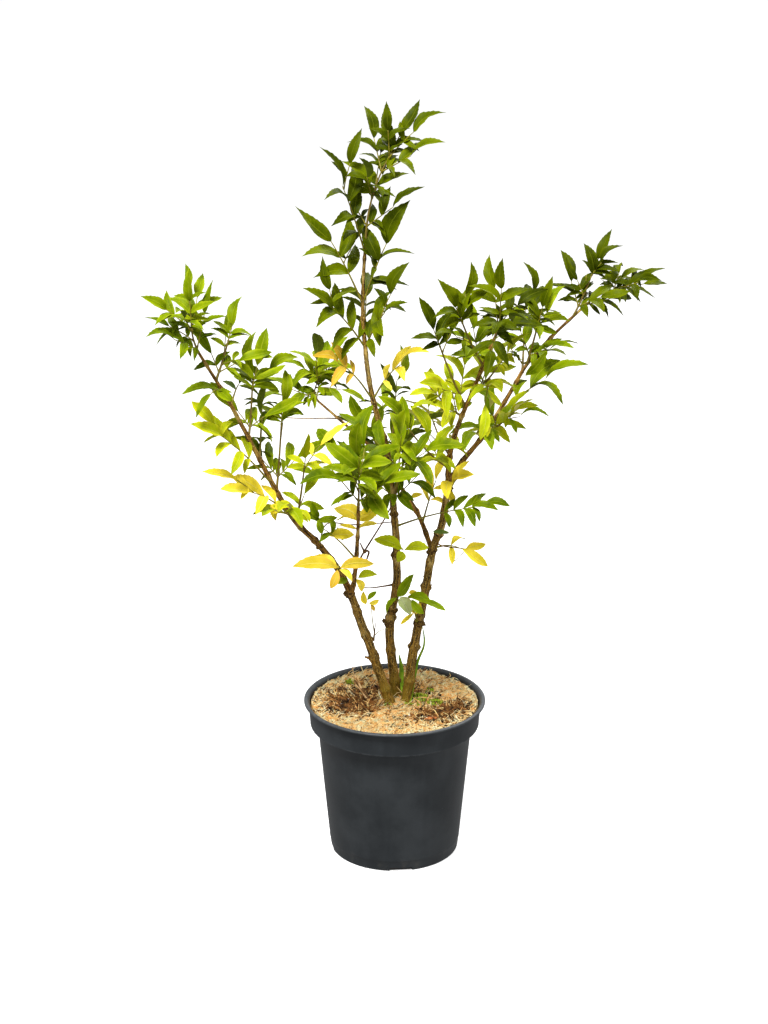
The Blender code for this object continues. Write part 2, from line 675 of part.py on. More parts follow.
def tree_of(things):
    """Return a search tree of the faces of several objects."""
    corners = []
    faces = []
    for thing in things:
        more, polygons = world_faces(thing)
        faces += [tuple(i + len(corners) for i in polygon) for polygon in polygons]
        corners += more
    return BVHTree.FromPolygons(corners, faces)


def is_clear(thing, tree):
    """Say whether an object keeps the gap to everything in the tree."""
    corners, faces = world_faces(thing)
    if tree.overlap(BVHTree.FromPolygons(corners, faces)):
        return False
    return all(tree.find_nearest(corner)[3] > GAP for corner in corners)


def stem_radius(row):
    """Return the radius of a mass's stem where it leaves its limb."""
    limb = next(limb for limb in LIMBS if limb.name == row.limb)
    return min(STEM_RADIUS, STEM_TO_LIMB * (limb.radius + (limb.tip_radius - limb.radius) * row.along))


def start_heading(row, route):
    """Return the point on the limb where a mass springs and the direction that it takes."""
    place, heading = point_along(route, row.along)
    return place, heading if row.along == 1.0 else (Vector(row.tip) - place).normalized()


def clear_start(row, route, radius, tree):
    """Walk from the limb's middle line towards the tip until the stem stands clear of the limb."""
    place, direction = start_heading(row, route)
    one = across(direction, ASKEW)
    two = direction.cross(one)
    turns = [math.tau * k / RING_POINTS for k in range(RING_POINTS)]
    for count in range(GAP_STEPS):
        centre = place + direction * (GAP_STEP * count)
        ring = [centre + (one * math.cos(a) + two * math.sin(a)) * radius for a in turns]
        outside = []
        for corner in [centre] + ring:
            near, normal, _, distance = tree.find_nearest(corner)
            outside.append(distance > GAP and (corner - near).dot(normal) > 0)
        if all(outside):
            return centre
    raise ValueError(f"{row.name} finds no clear start")


def fuse(name, pieces, parts):
    """Join the pieces to one closed solid with a Boolean union on a collection."""
    pile = new_collection(f"{name}_pieces")
    for piece in pieces[1:]:
        move_to(piece, pile)
    main = pieces[0]
    move_to(main, parts)
    main.name = name
    union = main.modifiers.new("union", "BOOLEAN")
    union.operation = "UNION"
    union.operand_type = "COLLECTION"
    union.collection = pile
    apply_boolean(main)
    main.data.name = name
    for piece in list(pile.objects):
        bpy.data.objects.remove(piece, do_unlink=True)
    bpy.data.collections.remove(pile)
    return main


def grow_leaves(leaves, tree, workshop, section, blade):
    """Return the stalks and blades of the leaves that stand clear of the tree's faces."""
    pieces = []
    for stalk, frames in leaves:
        if stalk:
            twig = tube("stalk", stalk, taper(RACHIS_RADIUS, RACHIS_TIP, len(stalk)), workshop, section)
            if not is_clear(twig, tree):
                bpy.data.objects.remove(twig, do_unlink=True)
                continue
            pieces.append(twig)
        for frame in frames:
            leaflet = add_object("leaflet", blade, workshop)
            leaflet.matrix_world = frame
            if is_clear(leaflet, tree):
                pieces.append(leaflet)
            else:
                bpy.data.objects.remove(leaflet, do_unlink=True)
    return pieces


def triangle_section(group):
    """Return the three-sided section that the twigs are swept with, of radius 1."""
    curve = bpy.data.curves.new("twig_section", "CURVE")
    curve.dimensions = "2D"
    spline = curve.splines.new("POLY")
    spline.points.add(TWIG_SIDES - 1)
    spline.use_cyclic_u = True
    for index, point in enumerate(spline.points):
        angle = math.tau * index / TWIG_SIDES
        point.co = (math.cos(angle), math.sin(angle), 0.0, 1.0)
    section = bpy.data.objects.new("twig_section", curve)
    group.objects.link(section)
    section.hide_render = True
    section.display_type = "WIRE"
    return section


def build_masses(parts, routes):
    """Set every mass's stem on its limb, then grow its leaves clear of all that stands."""
    workshop = new_collection("workshop")
    section = triangle_section(workshop)
    blade = blade_mesh()
    limb_tree = tree_of([parts.objects[limb.name] for limb in LIMBS])
    plans = []
    for number, row in enumerate(MASSES, start=1):
        route = routes[row.limb]
        start = clear_start(row, route, stem_radius(row), limb_tree)
        while True:
            stem, leaves = plan_mass(row, number, route, start)
            twig = tube("stem", stem, taper(stem_radius(row), STEM_TIP, len(stem)), workshop, section)
            if is_clear(twig, limb_tree):
                break
            bpy.data.objects.remove(twig, do_unlink=True)
            start = start + start_heading(row, route)[1] * GAP_STEP
        for other, standing, _ in plans:
            if tree_of([twig]).overlap(tree_of([standing])):
                raise ValueError(f"the stems of {row.name} and {other.name} touch")
        plans.append((row, twig, leaves))
    for index, (row, twig, leaves) in enumerate(plans):
        waiting = [other for _, other, _ in plans[index + 1:]]
        tree = tree_of(list(parts.objects) + waiting)
        pieces = [twig] + grow_leaves(leaves, tree, workshop, section, blade)
        mass = fuse(row.name, pieces, parts)
        mass.data.materials.clear()
        mass.data.materials.append(finish(row.tint))
    bpy.data.objects.remove(section, do_unlink=True)
    bpy.data.collections.remove(workshop)


def main():
    """Build the pot, the soil, the stems and boughs, and the foliage."""
    clear_scene()
    parts = new_collection("potted_elder")
    cutters = new_collection("cutters")
    build_pot(parts, cutters)
    build_soil(parts)
    routes = build_limbs(parts, cutters)
    build_masses(parts, routes)
    for cutter in list(cutters.objects):
        bpy.data.objects.remove(cutter, do_unlink=True)
    count = sum(len(thing.data.loop_triangles) or len(thing.data.polygons) for thing in parts.objects)
    print(f"{len(parts.objects)} parts, about {count} faces")


main()
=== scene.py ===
# %% [markdown]
# # A potted elder
# This lesson dresses a young elder shrub in its nursery pot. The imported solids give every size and
# place. Each cell makes one piece or one finish, and the leaves grow by the same seeded rule that the
# solids were grown by, only finer: toothed blades, veins, bark with warts, and loose fibre on the soil.

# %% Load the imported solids
import math
import random
from collections import namedtuple

import bmesh
import bpy
import numpy as np
from mathutils import Matrix, Vector, noise
from mathutils.bvhtree import BVHTree


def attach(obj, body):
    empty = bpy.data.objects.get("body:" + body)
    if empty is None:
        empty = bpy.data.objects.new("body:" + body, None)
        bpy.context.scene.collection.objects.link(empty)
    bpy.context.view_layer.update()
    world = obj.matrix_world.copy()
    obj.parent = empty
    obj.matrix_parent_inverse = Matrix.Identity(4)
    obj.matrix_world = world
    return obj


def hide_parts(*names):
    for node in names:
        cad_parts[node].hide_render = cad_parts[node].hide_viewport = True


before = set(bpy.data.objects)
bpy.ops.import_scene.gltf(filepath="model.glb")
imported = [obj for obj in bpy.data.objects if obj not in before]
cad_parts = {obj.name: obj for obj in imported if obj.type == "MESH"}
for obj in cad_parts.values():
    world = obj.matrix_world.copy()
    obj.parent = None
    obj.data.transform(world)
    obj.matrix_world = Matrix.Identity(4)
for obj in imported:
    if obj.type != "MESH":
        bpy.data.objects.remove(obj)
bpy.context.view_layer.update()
UP = Vector((0.0, 0.0, 1.0))

# %% [markdown]
# ## Camera
# The photograph looks down on the rim of the pot by about nineteen degrees, from some three metres
# away. A long lens at that distance keeps the sides of the pot nearly parallel, as they are there.
# A wider lens close by would have shown the same rim, but bent the crown outwards.

# %% Camera
CAMERA_DISTANCE = 3.0
CAMERA_HEIGHT = 1.53
CAMERA_PITCH = 71.23
CAMERA_TURN = 0.29
LENS = 79.95
SENSOR = 36.0

lens = bpy.data.cameras.new("camera")
lens.sensor_fit = "VERTICAL"
lens.sensor_height = SENSOR
lens.lens = LENS
camera = bpy.data.objects.new("camera", lens)
camera.location = (0.0, -CAMERA_DISTANCE, CAMERA_HEIGHT)
camera.rotation_euler = (math.radians(CAMERA_PITCH), 0.0, math.radians(CAMERA_TURN))
bpy.context.scene.collection.objects.link(camera)
bpy.context.scene.camera = camera
print("camera at", tuple(round(v, 2) for v in camera.location))

# %% [markdown]
# ## Light
# A plant is photographed in a white tent: light from all round, a little more from above and in front,
# and hardly any shadow. Large area lamps over a white world do that. One sun lamp would have thrown the
# hard shadow of every leaf on the soil.

# %% Light
WORLD_LIGHT = 0.42
bpy.context.scene.view_settings.view_transform = "Standard"
world = bpy.data.worlds.new("tent")
bpy.context.scene.world = world
world.use_nodes = True
world.node_tree.nodes["Background"].inputs["Color"].default_value = (1.0, 1.0, 1.0, 1.0)
world.node_tree.nodes["Background"].inputs["Strength"].default_value = WORLD_LIGHT

Lamp = namedtuple("Lamp", "name place size watts")
LAMPS = (
    Lamp("key", (-0.8, -1.4, 3.0), 0.8, 104.0),
    Lamp("fill", (1.9, -2.1, 1.3), 1.5, 15.0),
    Lamp("back", (0.9, 1.9, 2.6), 1.3, 42.0),
)
AIM = Vector((0.0, 0.0, 0.55))


def add_lamp(lamp):
    """Hang a square area lamp that looks at the middle of the plant."""
    light = bpy.data.lights.new(lamp.name, "AREA")
    light.size = lamp.size
    light.energy = lamp.watts
    thing = bpy.data.objects.new(lamp.name, light)
    thing.location = lamp.place
    thing.rotation_euler = (AIM - Vector(lamp.place)).to_track_quat("-Z", "Y").to_euler()
    bpy.context.scene.collection.objects.link(thing)


for lamp in LAMPS:
    add_lamp(lamp)
print("lamps:", len(LAMPS))

# %% [markdown]
# ## Working by hand in code
# Operators act on whatever is selected, and the solids come in selected. So each new piece starts with
# an empty selection. These helpers stand for what the mouse would do: pick one object, apply its
# modifiers, put its place into its mesh.

# %% Selection and modifier helpers


def deselect():
    """Leave nothing selected."""
    for thing in bpy.context.selected_objects:
        thing.select_set(False)


def pick(thing):
    """Select one object alone and make it active."""
    deselect()
    thing.select_set(True)
    bpy.context.view_layer.objects.active = thing


def apply_modifiers(thing):
    """Apply the object's modifiers from first to last."""
    pick(thing)
    for modifier in list(thing.modifiers):
        bpy.ops.object.modifier_apply(modifier=modifier.name)


def settle(thing):
    """Put the object's place, turn and scale into its mesh."""
    pick(thing)
    bpy.ops.object.transform_apply(location=True, rotation=True, scale=True)


def outward(thing):
    """Merge doubled corners and turn every face outwards."""
    cage = bmesh.new()
    cage.from_mesh(thing.data)
    bmesh.ops.remove_doubles(cage, verts=cage.verts, dist=0.00001)
    bmesh.ops.recalc_face_normals(cage, faces=cage.faces)
    cage.to_mesh(thing.data)
    cage.free()


def round_off(thing, degrees):
    """Shade the object smooth up to edges sharper than an angle."""
    pick(thing)
    bpy.ops.object.shade_smooth_by_angle(angle=math.radians(degrees))


print("still selected before the first piece:", len(bpy.context.selected_objects))

# %% [markdown]
# ## Building materials
# Every finish here is a Principled shader with its pattern made by noise. Writing the nodes by hand
# gets long, so a small class does the wiring: it adds a node, sets its numbers and joins its sockets.

# %% A small kit for materials


class Recipe:
    """A material whose nodes are added one call at a time."""

    def __init__(self, name, roughness=0.5, specular=0.5):
        self.skin = bpy.data.materials.new(name)
        self.skin.use_nodes = True
        self.tree = self.skin.node_tree
        self.shader = self.tree.nodes["Principled BSDF"]
        self.shader.inputs["Roughness"].default_value = roughness
        self.shader.inputs["Specular IOR Level"].default_value = specular

    def put(self, socket, value):
        """Set a socket to a number, a colour or another node's output."""
        if isinstance(value, bpy.types.NodeSocket):
            self.tree.links.new(value, socket)
        elif isinstance(value, tuple) and len(value) == 3 and socket.type == "RGBA":
            socket.default_value = (*value, 1.0)
        else:
            socket.default_value = value

    def add(self, kind, output=0, **values):
        """Add a node, fill its inputs by name and return one of its outputs."""
        step = self.tree.nodes.new(kind)
        for name, value in values.items():
            if name in step.inputs:
                self.put(step.inputs[name], value)
            else:
                setattr(step, name, value)
        return step.outputs[output]

    def math(self, operation, one, two=0.0):
        """Return the result of a sum on one or two values."""
        step = self.tree.nodes.new("ShaderNodeMath")
        step.operation = operation
        self.put(step.inputs[0], one)
        self.put(step.inputs[1], two)
        return step.outputs[0]

    def place(self, scale=(1.0, 1.0, 1.0), attribute=None):
        """Return the object's own coordinates, or an attribute's, stretched by a scale."""
        if attribute:
            source = self.add("ShaderNodeAttribute", "Vector", attribute_name=attribute)
        else:
            source = self.add("ShaderNodeTexCoord", "Object")
        step = self.tree.nodes.new("ShaderNodeMapping")
        self.tree.links.new(source, step.inputs["Vector"])
        step.inputs["Scale"].default_value = scale
        return step.outputs[0]

    def noise(self, where, scale, detail=4.0, roughness=0.55):
        """Return a noise value from 0 to 1."""
        step = self.tree.nodes.new("ShaderNodeTexNoise")
        self.tree.links.new(where, step.inputs["Vector"])
        step.inputs["Scale"].default_value = scale
        step.inputs["Detail"].default_value = detail
        step.inputs["Roughness"].default_value = roughness
        return step.outputs[0]

    def spots(self, where, scale):
        """Return the distance to the nearest of scattered points."""
        step = self.tree.nodes.new("ShaderNodeTexVoronoi")
        self.tree.links.new(where, step.inputs["Vector"])
        step.inputs["Scale"].default_value = scale
        return step.outputs["Distance"]

    def window(self, value, low, high, start=0.0, end=1.0):
        """Return a smooth step from start to end as the value goes from low to high."""
        step = self.tree.nodes.new("ShaderNodeMapRange")
        step.interpolation_type = "SMOOTHSTEP"
        for name, number in zip(("Value", "From Min", "From Max", "To Min", "To Max"),
                                (value, low, high, start, end)):
            self.put(step.inputs[name], number)
        return step.outputs[0]

    def blend(self, share, one, two):
        """Return a mix of two colours by a share."""
        step = self.tree.nodes.new("ShaderNodeMix")
        step.data_type = "RGBA"
        for index, value in ((0, share), (6, one), (7, two)):
            self.put(step.inputs[index], value)
        return step.outputs[2]

    def finish(self, colour, height=None, depth=0.001, roughness=None):
        """Join colour, relief and roughness to the shader and return the material."""
        self.put(self.shader.inputs["Base Color"], colour)
        if roughness is not None:
            self.put(self.shader.inputs["Roughness"], roughness)
        if height is not None:
            step = self.tree.nodes.new("ShaderNodeBump")
            step.inputs["Distance"].default_value = depth
            self.tree.links.new(height, step.inputs["Height"])
            self.tree.links.new(step.outputs[0], self.shader.inputs["Normal"])
        return self.skin


def tone(red, green, blue):
    """Return the linear colour of a display colour whose parts go from 0 to 255."""
    parts = []
    for part in (red, green, blue):
        share = part / 255.0
        parts.append(share / 12.92 if share <= 0.04045 else ((share + 0.055) / 1.055) ** 2.4)
    return tuple(parts)


def own_material(thing, *skins):
    """Give the object these materials alone."""
    thing.data.materials.clear()
    for skin in skins:
        thing.data.materials.append(skin)


print("mid grey is", [round(v, 3) for v in tone(128, 128, 128)])

# %% [markdown]
# ## The floor
# The pot stands on white paper that runs out of sight. One very large plane does for it. A faint glow
# keeps it as white as the paper. It is hidden from bounced and mirrored light, because a white floor
# under the crown would light the leaves from below and wash their colour out.

# %% Floor
FLOOR_WIDTH = 60.0
FLOOR_GLOW = 0.62
deselect()
bpy.ops.mesh.primitive_plane_add(size=FLOOR_WIDTH, location=(0.0, 0.0, 0.0))
floor = bpy.context.object
floor.name = "floor"
floor.visible_diffuse = False
floor.visible_glossy = False
paper = Recipe("pale_paper", 0.9, 0.1)
paper.shader.inputs["Emission Color"].default_value = (1.0, 1.0, 1.0, 1.0)
paper.shader.inputs["Emission Strength"].default_value = FLOOR_GLOW
own_material(floor, paper.finish(tone(248, 248, 248)))
print("floor is", floor.dimensions.x, "m wide")

# %% [markdown]
# ## Pot plastic
# Nursery pots are moulded from recycled plastic: blue-black, matt but not dead, with a fine moulded grain,
# pale scuffs along the lip and the shoulder with a painted highlight over them, and dust that settles in
# specks. The scuffs and the painted highlight follow height, so they are laid on by the Z coordinate, broken
# up by noise.

# %% Pot plastic
LIP_SCUFF_AND_HIGHLIGHT = (0.2262, 0.2285)
LEDGE_FROM = (0.1885, 0.1915)
LEDGE_TO = (0.1955, 0.1925)
FOOT_DUST = (0.03, 0.0)
plastic = Recipe("pot_plastic", 0.46, 0.3)
here = plastic.place()
height = plastic.add("ShaderNodeSeparateXYZ", "Z", Vector=here)


def laid_over(body, zone, scale, detail, window, colour):
    """Return the body colour with another over a zone that noise breaks up."""
    patches = plastic.window(plastic.noise(here, scale, detail), *window)
    return plastic.blend(plastic.math("MULTIPLY", zone, patches), body, colour)


cloud = plastic.noise(here, 14.0, 5.0)
body = plastic.blend(plastic.window(cloud, 0.35, 0.7), tone(40, 44, 47), tone(58, 62, 65))
flow = plastic.noise(plastic.place((60.0, 60.0, 4.0)), 1.0, 4.0)
streaks = plastic.math("MULTIPLY", plastic.window(flow, 0.46, 0.8), 0.25)
body = plastic.blend(streaks, body, tone(64, 69, 73))
dust = plastic.math("MULTIPLY", plastic.window(plastic.spots(here, 210.0), 0.16, 0.02), 0.45)
body = laid_over(body, dust, 22.0, 3.0, (0.56, 0.72), tone(120, 124, 124))
# The top of the lip and the shoulder get pale scuffs and a painted highlight; on the lip the paler colour
# covers the whole band.
lip_scuff_and_highlight = plastic.window(height, *LIP_SCUFF_AND_HIGHLIGHT)
body = laid_over(body, lip_scuff_and_highlight, 160.0, 3.0, (0.25, 0.75, 0.35, 0.85), tone(88, 92, 95))
ledge_scuff_and_highlight = plastic.math("MULTIPLY", plastic.window(height, *LEDGE_FROM), plastic.window(height, *LEDGE_TO))
body = laid_over(body, ledge_scuff_and_highlight, 90.0, 3.0, (0.4, 0.65, 0.05, 0.55), tone(84, 89, 92))
foot = plastic.window(height, *FOOT_DUST)
body = laid_over(body, foot, 60.0, 4.0, (0.5, 0.75, 0.0, 0.5), tone(88, 86, 80))
grain = plastic.noise(here, 900.0, 2.0)
sheen = plastic.window(cloud, 0.3, 0.7, 0.4, 0.52)
PLASTIC = plastic.finish(body, grain, 0.00012, sheen)
print("made", PLASTIC.name)

# %% [markdown]
# ## Young elder stems are grey-brown over olive, ridged along their length and dotted with corky warts. The bark also carries painted light: painted shade, near black, in the grooves between the ridges, and painted highlights in light patches and fine specks.
# Young elder stems are grey-brown over olive, ridged along their length and dotted with corky warts.
# The pattern has to run along a leaning stem, so the mesh carries its own coordinates: two across the
# stem and the length along it. Old and young wood share the recipe and differ in their colours. Thin
# shoots are too small for warts and ridges, so they get streaks alone.

# %% Bark
BARK_PLACE = "bark_place"


def bark_material(name, dark, middle, light, lichen):
    """Return a bark with long ridges, from grooves darkened by painted shade to lighter ridges, with painted
    highlights in light patches and specks.
    """
    bark = Recipe(name, 0.78, 0.25)
    ridges = bark.noise(bark.place((560.0, 560.0, 60.0), BARK_PLACE), 1.0, 5.0, 0.7)
    patches = bark.noise(bark.place((60.0, 60.0, 26.0), BARK_PLACE), 1.0, 3.0)
    glint_specks = bark.noise(bark.place((900.0, 900.0, 500.0), BARK_PLACE), 1.0, 2.0)
    # The dark colour in the grooves is painted shade; the same dark colour marks the pores.
    colour = bark.blend(bark.window(ridges, 0.4, 0.58), dark, middle)
    # The light colour in patches and specks is painted highlight.
    colour = bark.blend(bark.math("MULTIPLY", bark.window(patches, 0.5, 0.72), 0.6), colour, light)
    colour = bark.blend(bark.math("MULTIPLY", bark.window(glint_specks, 0.58, 0.72), 0.8), colour, light)
    pores = bark.window(bark.spots(bark.place((330.0, 330.0, 150.0), BARK_PLACE), 1.0), 0.22, 0.08)
    colour = bark.blend(bark.math("MULTIPLY", pores, 0.75), colour, dark)
    low = bark.add("ShaderNodeSeparateXYZ", "Z", Vector=bark.place())
    moss = bark.math("MULTIPLY", bark.window(low, 0.31, 0.215), bark.window(patches, 0.35, 0.6, 0.25, 0.95))
    colour = bark.blend(moss, colour, lichen)
    return bark.finish(colour, ridges, 0.0006)


def streaky(name, roughness, specular, stretch, dark, light, depth):
    """Return the finish of a thin shoot: two colours in streaks along it."""
    shoot = Recipe(name, roughness, specular)
    streaks = shoot.noise(shoot.place(stretch, BARK_PLACE), 1.0)
    return shoot.finish(shoot.blend(shoot.window(streaks, 0.35, 0.65), dark, light), streaks, depth)


# The near-black dark and the bright light of each bark are painted shade and painted highlight.
OLD_BARK = bark_material("old_bark", tone(38, 24, 2), tone(160, 122, 46), tone(255, 224, 140),
                         tone(124, 104, 10))
YOUNG_BARK = bark_material("young_bark", tone(44, 24, 2), tone(160, 114, 42), tone(255, 220, 120),
                           tone(122, 104, 14))
wart = Recipe("wart_cork", 0.85, 0.2)
cork = wart.window(wart.noise(wart.place(), 350.0), 0.4, 0.6)
WART = wart.finish(wart.blend(cork, tone(60, 40, 14), tone(132, 102, 48)))
TWIG = streaky("green_twig", 0.55, 0.4, (300.0, 300.0, 60.0), tone(106, 86, 26), tone(142, 126, 36), 0.0002)
STALK = streaky("leaf_stalk", 0.5, 0.4, (260.0, 260.0, 80.0), tone(122, 110, 24), tone(160, 152, 44), 0.0001)
DRY = streaky("dry_twig", 0.85, 0.2, (500.0, 500.0, 90.0), tone(76, 50, 26), tone(140, 104, 62), 0.0002)
print("barks:", OLD_BARK.name, YOUNG_BARK.name, WART.name, TWIG.name, STALK.name, DRY.name)

# %% [markdown]
# ## Leaves
# An elder leaflet is thin, soft and a little glossy above, with a pale midrib and side veins that run off it
# and curve forward. Below it is duller and paler, with the veins standing out. The blade's UV map gives the
# pattern: U runs from foot to tip, V from margin to margin. Autumn goes through the shrub from the inside
# out, so each spray takes one of two shades of a plain tint. A painted glow of its own colour is laid on the
# yellow, ochre, lime, fresh and pale leaflets and on the gold undersides: it stands in for the light that
# comes through a thin leaf, and lifts leaves that lie in shade. See-through leaves would need far more work
# from the renderer and show little more.

# %% Leaf finishes
BLADE_MAP = "blade"
SIDE_VEINS = 9.0
VEIN_SLANT = 0.17


def leaf_material(name, base, deep, edge, vein, gloss=0.42, relief=0.0005, painted_glow=0.0):
    """Return a leaf surface: base colour with deeper clouds, a margin colour, paler veins and a painted glow
    of its base colour.
    """
    leaf = Recipe(name, gloss, 0.04)
    # Painted glow: the leaf gives off light of its own base colour, for light through the leaf and to lift
    # leaves in shade.
    leaf.shader.inputs["Emission Color"].default_value = (*base, 1.0)
    leaf.shader.inputs["Emission Strength"].default_value = painted_glow
    places = leaf.add("ShaderNodeUVMap", 0, uv_map=BLADE_MAP)
    split = leaf.tree.nodes.new("ShaderNodeSeparateXYZ")
    leaf.tree.links.new(places, split.inputs[0])
    along = split.outputs["X"]
    side = leaf.math("ABSOLUTE", leaf.math("SUBTRACT", leaf.math("MULTIPLY", split.outputs["Y"], 2.0), 1.0))
    slanted = leaf.math("SUBTRACT", along, leaf.math("MULTIPLY", side, VEIN_SLANT))
    wave = leaf.math("ABSOLUTE", leaf.math("SINE", leaf.math("MULTIPLY", slanted, SIDE_VEINS * math.pi)))
    veins = leaf.math("MULTIPLY", leaf.window(wave, 0.3, 0.04), leaf.window(side, 0.97, 0.55, 0.0, 0.3))
    rib = leaf.window(side, 0.11, 0.03)
    lines = leaf.math("MAXIMUM", veins, rib)
    clouds = leaf.noise(leaf.place(), 38.0, 3.0)
    colour = leaf.blend(leaf.window(clouds, 0.38, 0.64), base, deep)
    rimward = leaf.math("MULTIPLY", leaf.window(side, 0.35, 1.0), leaf.window(clouds, 0.62, 0.4, 0.15, 0.9))
    colour = leaf.blend(rimward, colour, edge)
    colour = leaf.blend(leaf.math("MULTIPLY", lines, 0.62), colour, vein)
    fine = leaf.noise(leaf.place(), 420.0, 2.0)
    quilt = leaf.math("ADD", leaf.math("SUBTRACT", 1.0, lines), leaf.math("MULTIPLY", fine, 0.25))
    return leaf.finish(colour, quilt, relief)


Tint = namedtuple("Tint", "base deep edge vein below")
TINTS = {
    "olive_a": Tint((103, 117, 0), (73, 87, 0), (116, 126, 2), (130, 140, 22), "green"),
    "olive_b": Tint((80, 93, 0), (55, 67, 0), (92, 102, 0), (110, 120, 20), "green"),
    "leaf_a": Tint((124, 144, 2), (90, 112, 0), (158, 172, 20), (164, 176, 38), "green"),
    "leaf_b": Tint((106, 128, 0), (76, 98, 0), (138, 154, 14), (146, 162, 32), "green"),
    "spring_a": Tint((138, 156, 4), (108, 130, 0), (168, 180, 26), (178, 188, 44), "green"),
    "spring_b": Tint((124, 144, 2), (94, 116, 0), (152, 166, 16), (162, 174, 38), "green"),
    "pale_a": Tint((204, 216, 150), (182, 198, 122), (210, 220, 148), (226, 232, 186), "green"),
    "pale_b": Tint((118, 142, 66), (92, 118, 50), (126, 148, 66), (156, 176, 100), "green"),
    "lime_a": Tint((182, 190, 14), (158, 172, 6), (214, 206, 40), (212, 214, 72), "gold"),
    "lime_b": Tint((164, 178, 12), (138, 158, 4), (198, 196, 34), (196, 204, 62), "gold"),
    "fresh_a": Tint((196, 206, 24), (172, 186, 14), (212, 216, 48), (216, 222, 88), "gold"),
    "fresh_b": Tint((138, 164, 10), (110, 138, 4), (164, 182, 28), (178, 194, 62), "green"),
    "yellow_a": Tint((250, 226, 66), (240, 210, 50), (252, 232, 96), (255, 240, 136), "gold"),
    "yellow_b": Tint((250, 226, 56), (226, 208, 40), (255, 230, 84), (252, 238, 120), "gold"),
    "ochre_a": Tint((226, 190, 60), (208, 168, 42), (222, 166, 66), (240, 214, 112), "gold"),
    "ochre_b": Tint((222, 196, 58), (200, 178, 40), (236, 186, 68), (236, 216, 106), "gold"),
}
# Strength of the painted glow for each tint.
PAINTED_GLOW = {"yellow": 0.1, "ochre": 0.03, "lime": 0.05, "fresh": 0.08, "pale": 0.05}
UNDER_GREEN = ((112, 126, 34), (90, 106, 22), (118, 132, 36), (146, 156, 66))
UNDER_GOLD = ((212, 206, 106), (196, 198, 92), (222, 208, 116), (236, 226, 158))


def toned(colours):
    """Return the linear colours of several display colours."""
    return [tone(*colour) for colour in colours]


ABOVE = {name: leaf_material(name, *toned(tint[:4]), painted_glow=PAINTED_GLOW.get(name[:-2], 0.0))
         for name, tint in TINTS.items()}
# The gold underside has a painted glow of 0.1 as well.
BELOW = {"green": leaf_material("under_green", *toned(UNDER_GREEN), 0.62, 0.0008),
         "gold": leaf_material("under_gold", *toned(UNDER_GOLD), 0.62, 0.0008, 0.1)}
print("leaf finishes:", len(ABOVE), "above and", len(BELOW), "below")

# %% [markdown]
# ## Soil finishes
# The pot is topped with shredded bark: straw-coloured fibre, darker bits of bark, some moss, a few
# white grains of perlite. Each kind is a joined mesh of its own with one finish.

# %% Soil finishes


def crumb_material(name, dark, light, scale=120.0, roughness=0.9):
    """Return a dull finish that wanders between two colours."""
    crumb = Recipe(name, roughness, 0.2)
    cloud = crumb.noise(crumb.place(), scale, 4.0)
    fine = crumb.noise(crumb.place(), scale * 9.0, 2.0)
    return crumb.finish(crumb.blend(crumb.window(cloud, 0.36, 0.64), dark, light), fine, 0.0004)


SOIL = crumb_material("dark_substrate", tone(96, 56, 18), tone(255, 202, 120), 60.0)
STRAW = crumb_material("straw_fibre", tone(255, 212, 134), tone(255, 250, 206), 110.0)
TAN = crumb_material("tan_fibre", tone(250, 182, 104), tone(255, 226, 150), 110.0)
BROWN = crumb_material("brown_fibre", tone(30, 18, 4), tone(156, 104, 50), 90.0)
CHIP = crumb_material("bark_chip", tone(30, 18, 6), tone(112, 78, 40), 160.0)
RUST = crumb_material("rust_chip", tone(150, 78, 34), tone(214, 138, 78), 160.0)
MOSS = crumb_material("moss", tone(104, 130, 22), tone(184, 202, 62), 420.0)
SPLINTER = crumb_material("split_wood", tone(168, 118, 66), tone(240, 202, 146), 160.0)
PERLITE = crumb_material("perlite", tone(226, 216, 200), tone(250, 246, 238), 300.0, 0.8)
print("soil finishes made")

# %% [markdown]
# ## The pot's outline
# It is a round nursery pot of 7.5 litres: a rounded lip, a deeper band for stiffness under it, a ledge,
# and a wall that tapers to the foot with one faint ridge. An outline of rings gives all of that, from the
# middle of the foot up the outside, over the lip and down the inside. Each ring is a radius and a height,
# worked out from a few sizes, so that a change of one size moves all that hangs on it.

# %% Pot sizes
POT_HEIGHT = 0.2295
RIM_RADIUS = 0.13
LIP_WIDTH = 0.0045
LIP_THICKNESS = 0.004
BAND_TOP_RADIUS = 0.1237
BAND_FOOT_RADIUS = 0.1211
BAND_FOOT_HEIGHT = POT_HEIGHT - 0.0373
WALL_TOP_RADIUS = 0.1103
WALL_TOP_HEIGHT = BAND_FOOT_HEIGHT - 0.002
BASE_RADIUS = 0.0928
WALL = 0.0018
FLOOR = 0.0025
RIDGE_HEIGHT = 0.0166
RIDGE_STEP = 0.0005
POT_SIDES = 180
SOIL_TOP = 0.218


def wall_radius(height):
    """Return the outer radius of the tapering wall at a height."""
    return BASE_RADIUS + (WALL_TOP_RADIUS - BASE_RADIUS) * height / WALL_TOP_HEIGHT


def lip_ring(degrees):
    """Return the radius and height on the half-round edge of the lip."""
    half = LIP_THICKNESS / 2
    turn = math.radians(degrees)
    return RIM_RADIUS - half + half * math.cos(turn), POT_HEIGHT - half + half * math.sin(turn)


